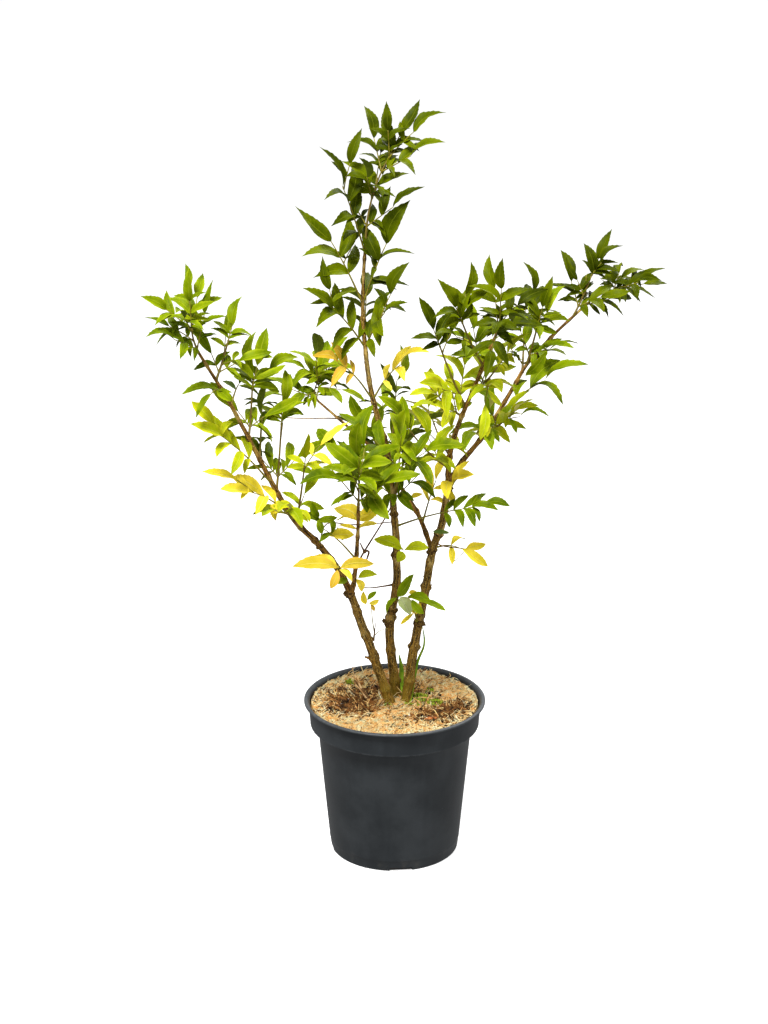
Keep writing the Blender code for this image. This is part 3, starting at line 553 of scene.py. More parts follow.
POT_RINGS = [
    (BASE_RADIUS - 0.0035, 0.0), (BASE_RADIUS - 0.0016, 0.0003), (BASE_RADIUS - 0.0007, 0.0012),
    (wall_radius(0.008) - RIDGE_STEP, 0.008),
    (wall_radius(RIDGE_HEIGHT) - RIDGE_STEP, RIDGE_HEIGHT - 0.0009),
    (wall_radius(RIDGE_HEIGHT) - 0.00005, RIDGE_HEIGHT - 0.0002),
    (wall_radius(RIDGE_HEIGHT), RIDGE_HEIGHT + 0.0006),
    (wall_radius(0.06), 0.06), (wall_radius(0.11), 0.11), (wall_radius(0.16), 0.16),
    (WALL_TOP_RADIUS - 0.0002, WALL_TOP_HEIGHT - 0.0026),
    (WALL_TOP_RADIUS + 0.0012, WALL_TOP_HEIGHT - 0.0005),
    (BAND_FOOT_RADIUS - 0.0016, BAND_FOOT_HEIGHT - 0.0005),
    (BAND_FOOT_RADIUS - 0.0003, BAND_FOOT_HEIGHT + 0.0002),
    (BAND_FOOT_RADIUS + 0.0001, BAND_FOOT_HEIGHT + 0.0012),
    (BAND_FOOT_RADIUS, BAND_FOOT_HEIGHT + 0.0028),
    (BAND_TOP_RADIUS, POT_HEIGHT - LIP_THICKNESS - 0.0014),
    (BAND_TOP_RADIUS + 0.001, POT_HEIGHT - LIP_THICKNESS - 0.0001),
    *[lip_ring(degrees) for degrees in (-90, -55, -20, 20, 55, 90)],
    (RIM_RADIUS - LIP_WIDTH, POT_HEIGHT), (RIM_RADIUS - LIP_WIDTH - 0.0007, POT_HEIGHT - 0.0007),
    (BAND_TOP_RADIUS - WALL, POT_HEIGHT - LIP_THICKNESS),
    (BAND_FOOT_RADIUS - WALL, BAND_FOOT_HEIGHT + 0.001),
    (WALL_TOP_RADIUS - WALL, WALL_TOP_HEIGHT),
    (BASE_RADIUS - 2 * RIDGE_STEP - WALL, FLOOR + 0.002),
    (BASE_RADIUS - 2 * RIDGE_STEP - WALL - 0.002, FLOOR),
]
print("rings:", len(POT_RINGS), "lip at", RIM_RADIUS)

# %% [markdown]
# ## Pulling the pot up
# A pot is pulled up here as clay is on a wheel: one disc is drawn up into the outer wall, turned over
# the lip and pushed down inside. In edit mode that is one extrude and one resize for each ring. A profile
# that is spun round the axis gives the same shape, but the extrusion shows how the wall closes on itself.

# %% Pull the pot up ring by ring


def pulled_up(name, rings, sides):
    """Return a closed object made from a disc by one extrude and one resize for each ring."""
    deselect()
    radius, height = rings[0]
    bpy.ops.mesh.primitive_circle_add(vertices=sides, radius=radius, fill_type="NGON",
                                      location=(0, 0, height))
    thing = bpy.context.object
    thing.name = name
    bpy.ops.object.mode_set(mode="EDIT")
    bpy.ops.mesh.select_all(action="SELECT")
    for next_radius, next_height in rings[1:]:
        rise = (0.0, 0.0, next_height - height)
        bpy.ops.mesh.extrude_region_move(TRANSFORM_OT_translate={"value": rise})
        ratio = next_radius / radius
        bpy.ops.transform.resize(value=(ratio, ratio, 1.0), center_override=(0, 0, next_height))
        radius, height = next_radius, next_height
    bpy.ops.object.mode_set(mode="OBJECT")
    settle(thing)
    outward(thing)
    return thing


pot = pulled_up("nursery_pot", POT_RINGS, POT_SIDES)
print("pot:", [round(v, 4) for v in pot.dimensions], "m")

# %% [markdown]
# ## Drainage notches
# Four shallow arches are moulded into the lower edge so that water gets away. A block with rounded
# corners is copied round the edge and cut out with a Boolean. Inset faces would also do, but the edge
# of the floor is thicker than the wall there, and a cut goes through both cleanly.

# %% Cut the notches
NOTCH_COUNT = 4
NOTCH_TURN = 6.0
NOTCH_WIDTH = 0.033
NOTCH_HEIGHT = 0.0055
NOTCH_DEPTH = 0.006
NOTCH_ROUNDING = 0.0018
for count in range(NOTCH_COUNT):
    turn = math.radians(NOTCH_TURN + 360.0 * count / NOTCH_COUNT)
    deselect()
    bpy.ops.mesh.primitive_cube_add(size=1.0)
    cutter = bpy.context.object
    cutter.scale = (NOTCH_WIDTH, 2 * NOTCH_DEPTH, 2 * NOTCH_HEIGHT)
    cutter.location = (BASE_RADIUS * math.sin(turn), -BASE_RADIUS * math.cos(turn), 0.0)
    cutter.rotation_euler.z = turn
    settle(cutter)
    bevel = cutter.modifiers.new("round", "BEVEL")
    bevel.width = NOTCH_ROUNDING
    bevel.segments = 3
    apply_modifiers(cutter)
    cut = pot.modifiers.new("notch", "BOOLEAN")
    cut.operation = "DIFFERENCE"
    cut.object = cutter
    apply_modifiers(pot)
    bpy.data.objects.remove(cutter, do_unlink=True)
outward(pot)
round_off(pot, 32)
own_material(pot, PLASTIC)
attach(pot, "root")
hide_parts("pot")
print("pot faces:", len(pot.data.polygons))

# %% [markdown]
# ## Joined meshes from arrays
# Bark, leaves and fibre come in hundreds or thousands. An object for each would choke the scene, so
# each kind goes into a pile of arrays that becomes one mesh. A batch in the pile is a set of corners,
# its triangles, a material number for each triangle, a map place and a bark place for each corner.

# %% A pile of batches


class Pile:
    """Batches of triangles that become one mesh."""

    def __init__(self):
        self.corners, self.triangles, self.skins, self.maps, self.places = [], [], [], [], []
        self.count = 0

    def add(self, corners, triangles, skin=0, maps=None, places=None):
        """Add a batch; skin is one number or one for each triangle."""
        corners = np.asarray(corners, float)
        triangles = np.asarray(triangles, int)
        self.corners.append(corners)
        self.triangles.append(triangles + self.count)
        self.skins.append(np.broadcast_to(skin, len(triangles)))
        self.maps.append(np.zeros((len(corners), 2)) if maps is None else np.asarray(maps, float))
        self.places.append(corners if places is None else np.asarray(places, float))
        self.count += len(corners)

    def build(self, name, skins, smooth=True):
        """Return the joined mesh as an object that rides with the plant."""
        corners = np.concatenate(self.corners)
        triangles = np.concatenate(self.triangles)
        mesh = bpy.data.meshes.new(name)
        mesh.vertices.add(len(corners))
        mesh.vertices.foreach_set("co", corners.astype(np.float32).ravel())
        mesh.loops.add(triangles.size)
        mesh.loops.foreach_set("vertex_index", triangles.astype(np.int32).ravel())
        mesh.polygons.add(len(triangles))
        mesh.polygons.foreach_set("loop_start", np.arange(0, triangles.size, 3, dtype=np.int32))
        mesh.polygons.foreach_set("material_index", np.concatenate(self.skins).astype(np.int32))
        layer = mesh.uv_layers.new(name=BLADE_MAP)
        layer.data.foreach_set("uv", np.concatenate(self.maps)[triangles.ravel()].astype(np.float32).ravel())
        places = mesh.attributes.new(BARK_PLACE, "FLOAT_VECTOR", "POINT")
        places.data.foreach_set("vector", np.concatenate(self.places).astype(np.float32).ravel())
        mesh.update(calc_edges=True)
        mesh.validate()
        if smooth:
            mesh.shade_smooth()
        thing = bpy.data.objects.new(name, mesh)
        bpy.context.scene.collection.objects.link(thing)
        for skin in skins:
            mesh.materials.append(skin)
        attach(thing, "root")
        print(f"{name}: {len(triangles)} triangles")
        return thing


def halved(a, b, c, d):
    """Return two triangles for each four-sided face with these corner numbers."""
    a, b, c, d = a.ravel(), b.ravel(), c.ravel(), d.ravel()
    return np.concatenate([np.stack([a, b, c], 1), np.stack([a, c, d], 1)])


def sheet(rows, columns):
    """Return the triangles of a sheet of rows by columns of corners."""
    index = np.arange(rows * columns).reshape(rows, columns)
    return halved(index[:-1, :-1], index[:-1, 1:], index[1:, 1:], index[1:, :-1])


def open_tube(rings, sides):
    """Return the triangles of a tube without ends, and its corner numbers ring by ring."""
    index = np.arange(rings * sides).reshape(rings, sides)
    around = np.roll(index, -1, axis=1)
    return halved(index[:-1], around[:-1], around[1:], index[1:]), index


ASLANT = Vector((0.31, 0.87, 0.39))
FOOT_BULGE = 0.2
TIP_BULGE = 0.6


def swept(route, radii, sides, shape=None):
    """Return a closed tube along a route; shape gives a factor of the radius at a length and a turn."""
    route = [Vector(point) for point in route]
    headings = [(b - a).normalized() for a, b in zip(route, route[1:])]
    between = [(a + b).normalized() for a, b in zip(headings, headings[1:])]
    headings = [headings[0]] + between + [headings[-1]]
    side = headings[0].cross(ASLANT).normalized()
    corners, places, maps = [], [], []
    length = 0.0
    for index, (centre, heading, radius) in enumerate(zip(route, headings, radii)):
        side = (side - heading * side.dot(heading)).normalized()
        other = heading.cross(side)
        if index:
            length += (centre - route[index - 1]).length
        for step in range(sides):
            turn = math.tau * step / sides
            reach = radius * (shape(length, turn) if shape else 1.0)
            corners.append(centre + (side * math.cos(turn) + other * math.sin(turn)) * reach)
            places.append((radius * math.cos(turn), radius * math.sin(turn), length))
            maps.append((step / sides, length))
    wall, index = open_tube(len(route), sides)
    first, last = len(corners), len(corners) + 1
    corners.append(route[0] - headings[0] * radii[0] * FOOT_BULGE)
    corners.append(route[-1] + headings[-1] * radii[-1] * TIP_BULGE)
    places += [(0.0, 0.0, 0.0), (0.0, 0.0, length)]
    maps += [(0.0, 0.0), (0.0, length)]
    foot = np.stack([np.full(sides, first), np.roll(index[0], -1), index[0]], 1)
    tip = np.stack([np.full(sides, last), index[-1], np.roll(index[-1], -1)], 1)
    corners = np.array([tuple(corner) for corner in corners])
    return corners, np.concatenate([wall, foot, tip]), np.array(maps), np.array(places)


print("a sheet of 3 by 3 corners has", len(sheet(3, 3)), "triangles")

# %% [markdown]
# ## Stems and boughs
# The limbs follow the routes of the solids: a smooth curve through a few named points, with a radius
# that shrinks from foot to tip. A curve object with a bevel would give a plain pipe. A swept mesh can
# also swell at each leaf scar, wander a little and carry ridges, which is what makes it read as wood.

# %% Limb routes
Limb = namedtuple("Limb", "name route radius tip_radius")
LIMBS = (
    Limb("stem_left", ((-0.007, 0.01, SOIL_TOP), (-0.029, 0.001, 0.291), (-0.045, -0.008, 0.341),
                       (-0.063, -0.022, 0.4)), 0.0072, 0.0056),
    Limb("stem_centre", ((0.003, 0.035, SOIL_TOP), (-0.007, 0.03, 0.32), (0.003, 0.024, 0.403),
                         (-0.002, 0.018, 0.515), (-0.012, 0.016, 0.596), (-0.033, 0.013, 0.682),
                         (-0.044, 0.009, 0.79), (-0.04, 0.006, 0.895)), 0.0072, 0.0019),
    Limb("stem_right", ((0.017, 0.018, SOIL_TOP), (0.029, 0.02, 0.309), (0.04, 0.02, 0.369),
                        (0.054, 0.02, 0.45), (0.065, 0.018, 0.484), (0.074, 0.015, 0.542)), 0.0074, 0.0048),
    Limb("bough_left", ((-0.063, -0.022, 0.4), (-0.078, -0.027, 0.434), (-0.106, -0.036, 0.476),
                        (-0.144, -0.048, 0.524), (-0.187, -0.072, 0.619), (-0.221, -0.092, 0.697),
                        (-0.257, -0.115, 0.769)), 0.005, 0.0019),
    Limb("bough_front", ((-0.06, -0.022, 0.398), (-0.056, -0.045, 0.428), (-0.052, -0.072, 0.48),
                         (-0.049, -0.105, 0.556)), 0.0036, 0.0021),
    Limb("bough_back", ((0.053, 0.022, 0.444), (0.036, 0.05, 0.483), (0.018, 0.08, 0.506),
                        (-0.027, 0.12, 0.559), (-0.063, 0.14, 0.588), (-0.11, 0.16, 0.624)),
         0.0036, 0.0016),
    Limb("bough_right_inner", ((0.074, 0.015, 0.542), (0.075, 0.0, 0.587), (0.081, -0.02, 0.626),
                               (0.1, -0.05, 0.689), (0.135, -0.09, 0.793)), 0.0042, 0.002),
    Limb("bough_right_outer", ((0.074, 0.016, 0.538), (0.088, 0.027, 0.568), (0.126, 0.048, 0.611),
                               (0.163, 0.07, 0.666), (0.185, 0.085, 0.701), (0.222, 0.1, 0.739),
                               (0.26, 0.12, 0.77)), 0.004, 0.0018),
)
GAP = 0.0003
LIMB_STEP = 0.032
FORK_DEPTH = 0.003
FLARE_HEIGHT = 0.028
FLARE = 1.14
FOOT_HEIGHT = 0.004
FOOT_SHARE = 0.45


def is_stem(limb):
    """Say whether a limb is a stem, which rises from the soil."""
    return limb.name.startswith("stem")


def taper(limb, share):
    """Return the limb's radius at a share of its length."""
    return limb.radius + (limb.tip_radius - limb.radius) * share


def route_length(route):
    """Return the length of a route."""
    return sum((end - start).length for start, end in zip(route, route[1:]))


def smooth_route(points, step):
    """Return points about a step apart on a smooth curve through the given points."""
    knots = [Vector(p) for p in points]
    knots = [2 * knots[0] - knots[1]] + knots + [2 * knots[-1] - knots[-2]]
    route = []
    for before, start, end, after in zip(knots, knots[1:], knots[2:], knots[3:]):
        count = max(1, round((end - start).length / step))
        for i in range(count):
            t = i / count
            route.append(0.5 * (2 * start + (end - before) * t
                                + (2 * before - 5 * start + 4 * end - after) * t ** 2
                                + (3 * start - before - 3 * end + after) * t ** 3))
    route.append(knots[-2])
    return route


def lengths_along(route):
    """Return each point's share of the route's whole length."""
    total = [0.0]
    for start, end in zip(route, route[1:]):
        total.append(total[-1] + (end - start).length)
    return [value / total[-1] for value in total]


def point_along(route, share):
    """Return the point at a share of the route's length and the direction there."""
    shares = lengths_along(route)
    for start, end, low, high in zip(route, route[1:], shares, shares[1:]):
        if share <= high:
            break
    return start.lerp(end, (share - low) / (high - low)), (end - start).normalized()


def limb_route(limb):
    """Return the route of the limb's solid: a stem begins upright, a bough inside its fork."""
    route = smooth_route(limb.route, LIMB_STEP)
    if is_stem(limb):
        foot = route[0] + UP * GAP
        return [foot, foot + UP * FOOT_HEIGHT, foot.lerp(route[1], FOOT_SHARE)] + route[1:]
    route[0] = route[0] - (route[1] - route[0]).normalized() * FORK_DEPTH
    return route


ROUTES = {limb.name: limb_route(limb) for limb in LIMBS}
print("limbs:", len(ROUTES))

# %% [markdown]
# ## Bark relief
# On a stem of elder the leaf scars face each other in pairs, each pair a quarter turn from the last,
# and the stem swells there. In between, the bark is lumpy and ridged. Three noises and one swelling
# for each pair of scars do that in geometry. The finer ridges stay in the bark's finish.

# %% Sweep the limbs
BARK_STEP = 0.0016
BARK_SIDES = 18
NODE_SPACING = {"stem": 0.044, "bough": 0.036}
NODE_SWELL = 0.17
NODE_LENGTH = 0.0042
SCAR_RISE = 0.22
NODE_FREE_END = 0.006
LUMP, RIDGE, WANDER = 0.085, 0.06, 0.0008
LIMB_SEED = 4000
STEM_SINK = 0.006
FADE = 8.0


def limb_nodes(limb, length, draw):
    """Return the lengths of the leaf scars along a limb and the turn of each pair."""
    spacing = NODE_SPACING["stem" if is_stem(limb) else "bough"]
    nodes = []
    at = spacing * draw.uniform(0.5, 0.9)
    turn = draw.uniform(0.0, math.pi)
    while at < length - NODE_FREE_END:
        nodes.append((at, turn, draw.uniform(0.7, 1.35)))
        at += spacing * draw.uniform(0.75, 1.25)
        turn += math.pi / 2 + draw.uniform(-0.3, 0.3)
    return nodes


def bark_shape(limb, length, draw):
    """Return the function that shapes the limb's skin."""
    nodes = limb_nodes(limb, length, draw)
    seed = draw.uniform(0.0, 90.0)

    def factor(at, turn):
        here = Vector((math.cos(turn), math.sin(turn), at * 60.0 + seed))
        ridge = noise.noise(Vector((4.5 * math.cos(turn), 4.5 * math.sin(turn), at * 34.0 - seed)))
        value = 1.0 + LUMP * noise.noise(here * 1.2) + RIDGE * ridge
        for place, scar, size in nodes:
            near = (at - place) / NODE_LENGTH
            if abs(near) < 3.0:
                bell = math.exp(-near * near) * size
                facing = abs(math.cos(turn - scar)) ** 6
                value += bell * (NODE_SWELL + SCAR_RISE * facing)
        return value

    return factor, nodes


def limb_radius(limb, share, height):
    """Return the limb's radius at a share of its length, with the root flare on a stem."""
    radius = taper(limb, share)
    if is_stem(limb) and height < FLARE_HEIGHT:
        radius *= 1.0 + (FLARE - 1.0) * (1.0 - max(0.0, height) / FLARE_HEIGHT) ** 2
    return radius


# Without a seed the noise that lets a limb wander starts from the clock and differs from run to run.
noise.seed_set(LIMB_SEED)
limb_skins = {}
for number, limb in enumerate(LIMBS):
    draw = random.Random(LIMB_SEED + number)
    route = smooth_route(limb.route, BARK_STEP)
    sink = UP * STEM_SINK if is_stem(limb) else (route[1] - route[0]).normalized() * FORK_DEPTH
    route = [route[0] - sink] + route
    shares = lengths_along(route)
    length = route_length(route)
    radii = [limb_radius(limb, share, point.z - SOIL_TOP) for share, point in zip(shares, route)]
    for index, point in enumerate(route):
        fade = min(1.0, FADE * shares[index], FADE * (1.0 - shares[index]))
        drift = noise.noise_vector(Vector((point.z * 22.0, number * 7.0, 0.0))) * (WANDER * fade)
        route[index] = point + Vector((drift.x, drift.y, 0.0))
    factor, nodes = bark_shape(limb, length, draw)
    corners, triangles, maps, places = swept(route, radii, BARK_SIDES, factor)
    pile = Pile()
    pile.add(corners, triangles, 0, maps, places)
    bark = pile.build(f"bark_{limb.name}", [OLD_BARK if is_stem(limb) else YOUNG_BARK])
    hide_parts(limb.name)
    limb_skins[limb.name] = (route, nodes)

# %% [markdown]
# ## Warts and leaf scars
# Corky warts dot the bark of an elder and show on its outline, and a small bud sits on each leaf scar.
# One small icosphere, flattened, is the model for all of them: noise pushes its corners, and each copy is
# put in the pile with its own corners. A bump in the finish would be cheaper, but the outline of the
# stems would stay smooth.

# %% Warts and leaf scars
WART_SEED = 77
STEM_WARTS, BOUGH_WARTS = 330, 240
LARGE_WART, SMALL_WART = 0.00075, 0.0005
THICK_LIMB = 0.004
deselect()
bpy.ops.mesh.primitive_ico_sphere_add(subdivisions=2, radius=1.0)
model = bpy.context.object
BALL_CORNERS = np.array([tuple(v.co) for v in model.data.vertices])
BALL_FACES = np.array([tuple(p.vertices) for p in model.data.polygons])
bpy.data.objects.remove(model, do_unlink=True)


def add_ball(pile, centre, heading, out, size, skin=0, rough=0.25, seed=0.0):
    """Add one lumpy ball of a size (out of the surface, round it, along it) to a pile."""
    out = (out - heading * out.dot(heading)).normalized()
    axes = np.array([tuple(out), tuple(heading.cross(out)), tuple(heading)])
    shift = Vector((seed, seed, 0.0))
    lumps = np.array([1.0 + rough * noise.noise(Vector(c) * 1.7 + shift) for c in BALL_CORNERS])
    corners = (BALL_CORNERS * lumps[:, None] * np.array(size)) @ axes + np.array(tuple(centre))
    pile.add(corners, BALL_FACES, skin)


def spoke(heading, turn):
    """Return a way straight out of a limb, turned about its heading."""
    level = heading.cross(Vector((0.3, 0.8, 0.5))).normalized()
    return level * math.cos(turn) + heading.cross(level) * math.sin(turn)


warts = Pile()
draw = random.Random(WART_SEED)
for limb in LIMBS:
    route, nodes = limb_skins[limb.name]
    length = route_length(route)
    for _ in range(int(length * (STEM_WARTS if is_stem(limb) else BOUGH_WARTS))):
        share = draw.uniform(0.03, 0.985)
        centre, heading = point_along(route, share)
        radius = taper(limb, share)
        out = spoke(heading, draw.uniform(0.0, math.tau))
        size = draw.uniform(0.35, 1.0) * (LARGE_WART if radius > THICK_LIMB else SMALL_WART)
        bump = (size, size * 0.9, size * 1.7)
        add_ball(warts, centre + out * radius * 0.98, heading, out, bump, 0, 0.3, share)
    for at, scar, size in nodes:
        centre, heading = point_along(route, at / length)
        radius = taper(limb, at / length)
        for hand in (0.0, math.pi):
            out = spoke(heading, scar + hand)
            bud = (radius * 0.34 * size, radius * 0.3, radius * 0.42)
            add_ball(warts, centre + out * radius * 1.12, heading, out, bud, 0, 0.35, at)
print("balls so far:", len(warts.corners))

# %% [markdown]
# ## Knots
# Where a shoot was cut or a fork begins, an elder grows a lumpy knot that is thicker than the stem. Each
# is the same ball, pushed about more, with five small chips of bark round it. Sculpting by hand would
# give the same lumps, but rows of a place and a size are quick to correct against the photograph.

# %% Knots
Knot = namedtuple("Knot", "place size")
KNOTS = (
    Knot((-0.0635, -0.022, 0.397), 0.0082), Knot((-0.055, -0.016, 0.377), 0.006),
    Knot((-0.03, 0.0, 0.296), 0.0078), Knot((-0.037, -0.003, 0.321), 0.006),
    Knot((-0.009, 0.029, 0.333), 0.0086), Knot((-0.003, 0.027, 0.352), 0.0076),
    Knot((0.0345, 0.02, 0.337), 0.0092), Knot((0.053, 0.021, 0.446), 0.008),
    Knot((0.061, 0.019, 0.47), 0.007), Knot((0.0735, 0.0155, 0.54), 0.0074),
    Knot((-0.103, -0.035, 0.471), 0.0056), Knot((-0.137, -0.046, 0.516), 0.0052),
    Knot((-0.001, 0.019, 0.5), 0.0068), Knot((0.002, 0.022, 0.44), 0.0074),
    Knot((0.201, 0.091, 0.717), 0.0042), Knot((0.165, 0.071, 0.668), 0.0044),
)
CHIPS_ROUND_A_KNOT = 5
for number, knot in enumerate(KNOTS):
    place = Vector(knot.place)
    lean = Vector((math.sin(number * 2.3), math.cos(number * 1.7), 0.0))
    lump = (knot.size, knot.size * 0.92, knot.size * 0.8)
    add_ball(warts, place, UP, lean, lump, 0, 0.5, number * 3.1)
    for chip in range(CHIPS_ROUND_A_KNOT):
        turn = math.tau * (chip / CHIPS_ROUND_A_KNOT) + number
        out = Vector((math.cos(turn), math.sin(turn), 0.35 * math.sin(chip * 2.1)))
        bit = knot.size * (0.22 + 0.1 * math.sin(chip * 4.0 + number))
        add_ball(warts, place + out * knot.size * 0.84, UP, out, (bit, bit, bit * 1.3), 0, 0.6, chip)
bumps = warts.build("bark_warts", [WART])

# %% [markdown]
# ## Masses of foliage
# Every mass of foliage is one shoot with its compound leaves. A row says which limb it leaves and how far
# along, where its tip ends and how much it bows. Then it says what it bears: pairs of leaves, the length
# of their stalks, leaflets to a leaf, the length of a leaflet and its tint. The last two numbers turn the
# way the leaves look and the first pair about the shoot. The rows are those of the solids. Points could
# be read from the solids' meshes instead, but a row can be read and changed.

# %% Masses of foliage
Mass = namedtuple("Mass", "name limb along tip bow pairs leaf leaflets blade tint face spin",
                  defaults=(0, 0))
MASSES = (
    Mass("left_tip", "bough_left", 1.0, (-0.265, -0.122, 0.807), 0.004, 2, 0.046, 5, 0.041, "spring", -10),
    Mass("left_side", "bough_left", 0.89, (-0.221, -0.08, 0.776), -0.004, 1, 0.028, 3, 0.042,
         "spring", 20, 10),
    Mass("left_upper", "bough_left", 0.66, (-0.192, -0.05, 0.706), -0.012, 1, 0.024, 3, 0.05, "spring", 20),
    Mass("left_mid_out", "bough_left", 0.85, (-0.242, -0.125, 0.716), 0.007, 0, 0.0, 5, 0.044,
         "spring", -20),
    Mass("left_mid_in", "bough_left", 0.79, (-0.21, -0.05, 0.709), 0.007, 0, 0.0, 3, 0.04, "pale", 20),
    Mass("left_out", "bough_left", 0.48, (-0.228, -0.12, 0.656), 0.007, 0, 0.0, 7, 0.048, "lime", -10),
    Mass("left_yellow", "bough_left", 0.36, (-0.191, -0.09, 0.568), 0.007, 0, 0.0, 5, 0.054, "yellow", -10),
    Mass("left_low", "bough_left", 0.33, (-0.158, -0.09, 0.54), 0.007, 0, 0.0, 5, 0.046, "lime", -20),
    Mass("left_twig", "bough_left", 0.32, (-0.122, -0.09, 0.602), -0.006, 1, 0.026, 3, 0.044, "lime", 10),
    Mass("left_inner", "bough_left", 0.45, (-0.155, -0.03, 0.646), -0.01, 1, 0.036, 5, 0.044, "spring", 10),
    Mass("left_back", "bough_left", 0.58, (-0.184, 0.02, 0.655), -0.01, 1, 0.04, 5, 0.044, "leaf", 170, 90),
    Mass("low_inner", "bough_front", 0.45, (-0.1, -0.06, 0.508), 0.007, 0, 0.0, 3, 0.038, "leaf"),
    Mass("foot_yellow", "bough_left", 0.1, (-0.076, -0.094, 0.462), 0.01, 0, 0.0, 5, 0.056, "yellow"),
    Mass("front_cluster", "bough_front", 1.0, (-0.048, -0.122, 0.595), 0.0, 2, 0.058, 5, 0.055, "leaf"),
    Mass("front_yellow", "bough_front", 0.72, (-0.052, -0.045, 0.52), 0.007, 0, 0.0, 5, 0.042, "yellow"),
    Mass("centre_low", "stem_centre", 0.22, (0.036, -0.022, 0.389), 0.007, 0, 0.0, 5, 0.042, "leaf", 10),
    Mass("centre_lime", "stem_centre", 0.34, (0.012, -0.034, 0.466), 0.007, 0, 0.0, 3, 0.042, "lime", 10),
    Mass("centre_twig", "stem_centre", 0.39, (0.106, -0.05, 0.534), 0.007, 0, 0.0, 7, 0.038, "leaf"),
    Mass("centre_mid", "stem_centre", 0.43, (0.006, -0.045, 0.603), -0.012, 2, 0.058, 5, 0.054, "spring"),
    Mass("centre_behind", "stem_centre", 0.52, (0.0, 0.09, 0.64), -0.012, 1, 0.05, 5, 0.05,
         "spring", 180),
    Mass("ochre_left", "stem_centre", 0.67, (-0.077, -0.02, 0.73), 0.012, 0, 0.0, 5, 0.038, "ochre"),
    Mass("ochre_right", "stem_centre", 0.67, (0.008, -0.012, 0.726), 0.012, 0, 0.0, 5, 0.044, "yellow"),
    Mass("centre_left", "stem_centre", 0.78, (-0.084, -0.02, 0.806), 0.007, 0, 0.0, 7, 0.056, "olive"),
    Mass("centre_right", "stem_centre", 0.78, (-0.014, -0.035, 0.804), 0.007, 0, 0.0, 7, 0.05, "olive"),
    Mass("upper_left", "stem_centre", 0.87, (-0.086, -0.004, 0.894), 0.007, 0, 0.0, 7, 0.061, "olive"),
    Mass("upper_right", "stem_centre", 0.87, (-0.012, 0.0, 0.89), 0.007, 0, 0.0, 7, 0.063, "olive"),
    Mass("upper_back", "stem_centre", 0.8, (-0.04, 0.075, 0.8), 0.007, 0, 0.0, 7, 0.052, "olive", 180),
    Mass("top_left", "stem_centre", 0.975, (-0.07, -0.014, 0.97), 0.007, 0, 0.0, 7, 0.056, "olive"),
    Mass("top", "stem_centre", 1.0, (-0.008, 0.016, 1.005), 0.004, 3, 0.044, 5, 0.047, "olive"),
    Mass("right_low_yellow", "stem_right", 0.72, (0.094, 0.0, 0.456), 0.007, 0, 0.0, 3, 0.042, "yellow"),
    Mass("right_low_lime", "stem_right", 0.36, (0.023, -0.01, 0.373), 0.007, 0, 0.0, 3, 0.03, "lime"),
    Mass("back_tip", "bough_back", 1.0, (-0.109, 0.175, 0.655), 0.0, 2, 0.042, 5, 0.045, "spring"),
    Mass("back_side", "bough_back", 0.16, (0.058, 0.045, 0.543), 0.007, 0, 0.0, 5, 0.04, "yellow"),
    Mass("back_mid", "bough_back", 0.47, (-0.03, 0.1, 0.585), -0.004, 1, 0.036, 5, 0.044, "leaf"),
    Mass("back_far", "bough_back", 0.6, (-0.02, 0.205, 0.585), -0.01, 1, 0.046, 5, 0.048, "leaf", 180),
    Mass("reach_left", "bough_right_inner", 0.12, (0.023, -0.03, 0.634), -0.008, 1, 0.04, 5, 0.05,
         "spring"),
    Mass("reach_back", "bough_right_inner", 0.2, (0.055, 0.06, 0.62), -0.008, 1, 0.04, 5, 0.046,
         "lime", 150),
    Mass("inner_lime", "bough_right_inner", 0.47, (0.062, -0.035, 0.684), -0.004, 1, 0.034, 5, 0.04, "lime"),
    Mass("inner_left", "bough_right_inner", 0.53, (0.06, -0.06, 0.763), -0.006, 1, 0.036, 5, 0.044,
         "olive"),
    Mass("inner_upper", "bough_right_inner", 0.79, (0.088, -0.1, 0.806), -0.006, 1, 0.036, 5, 0.044,
         "olive"),
    Mass("inner_tip", "bough_right_inner", 1.0, (0.136, -0.105, 0.806), 0.002, 2, 0.05, 5, 0.045, "olive"),
    Mass("inner_out", "bough_right_inner", 0.61, (0.136, -0.07, 0.738), -0.006, 1, 0.034, 5, 0.04, "lime"),
    Mass("fork_yellow", "stem_right", 0.94, (0.086, -0.018, 0.565), 0.007, 0, 0.0, 5, 0.044, "yellow"),
    Mass("outer_low", "bough_right_outer", 0.31, (0.152, 0.015, 0.64), -0.004, 1, 0.036, 5, 0.042, "lime"),
    Mass("outer_out", "bough_right_outer", 0.42, (0.208, 0.045, 0.688), 0.007, 0, 0.0, 7, 0.058, "spring"),
    Mass("outer_back", "bough_right_outer", 0.62, (0.185, 0.165, 0.735), -0.008, 1, 0.046, 5, 0.046,
         "olive", 150),
    Mass("outer_upper", "bough_right_outer", 0.66, (0.198, 0.07, 0.762), -0.002, 2, 0.036, 5, 0.042,
         "olive"),
    Mass("outer_up", "bough_right_outer", 0.96, (0.275, 0.125, 0.818), -0.004, 1, 0.034, 5, 0.042, "olive"),
    Mass("outer_tip", "bough_right_outer", 1.0, (0.322, 0.145, 0.796), 0.004, 2, 0.042, 7, 0.036,
         "olive", 10, 60),
)
print("masses:", len(MASSES))

# %% [markdown]
# ## The growing rule
# A shoot is a young stem with pairs of compound leaves. Each leaf is a stalk with pairs of leaflets and
# one at its end, and each pair of leaves stands a quarter turn from the last. The rule is the one that
# the solids were grown by, with the same seeds, so each leaf stands where its solid stands. A particle
# system would scatter leaves too, but not in facing pairs, and the export drops particles.

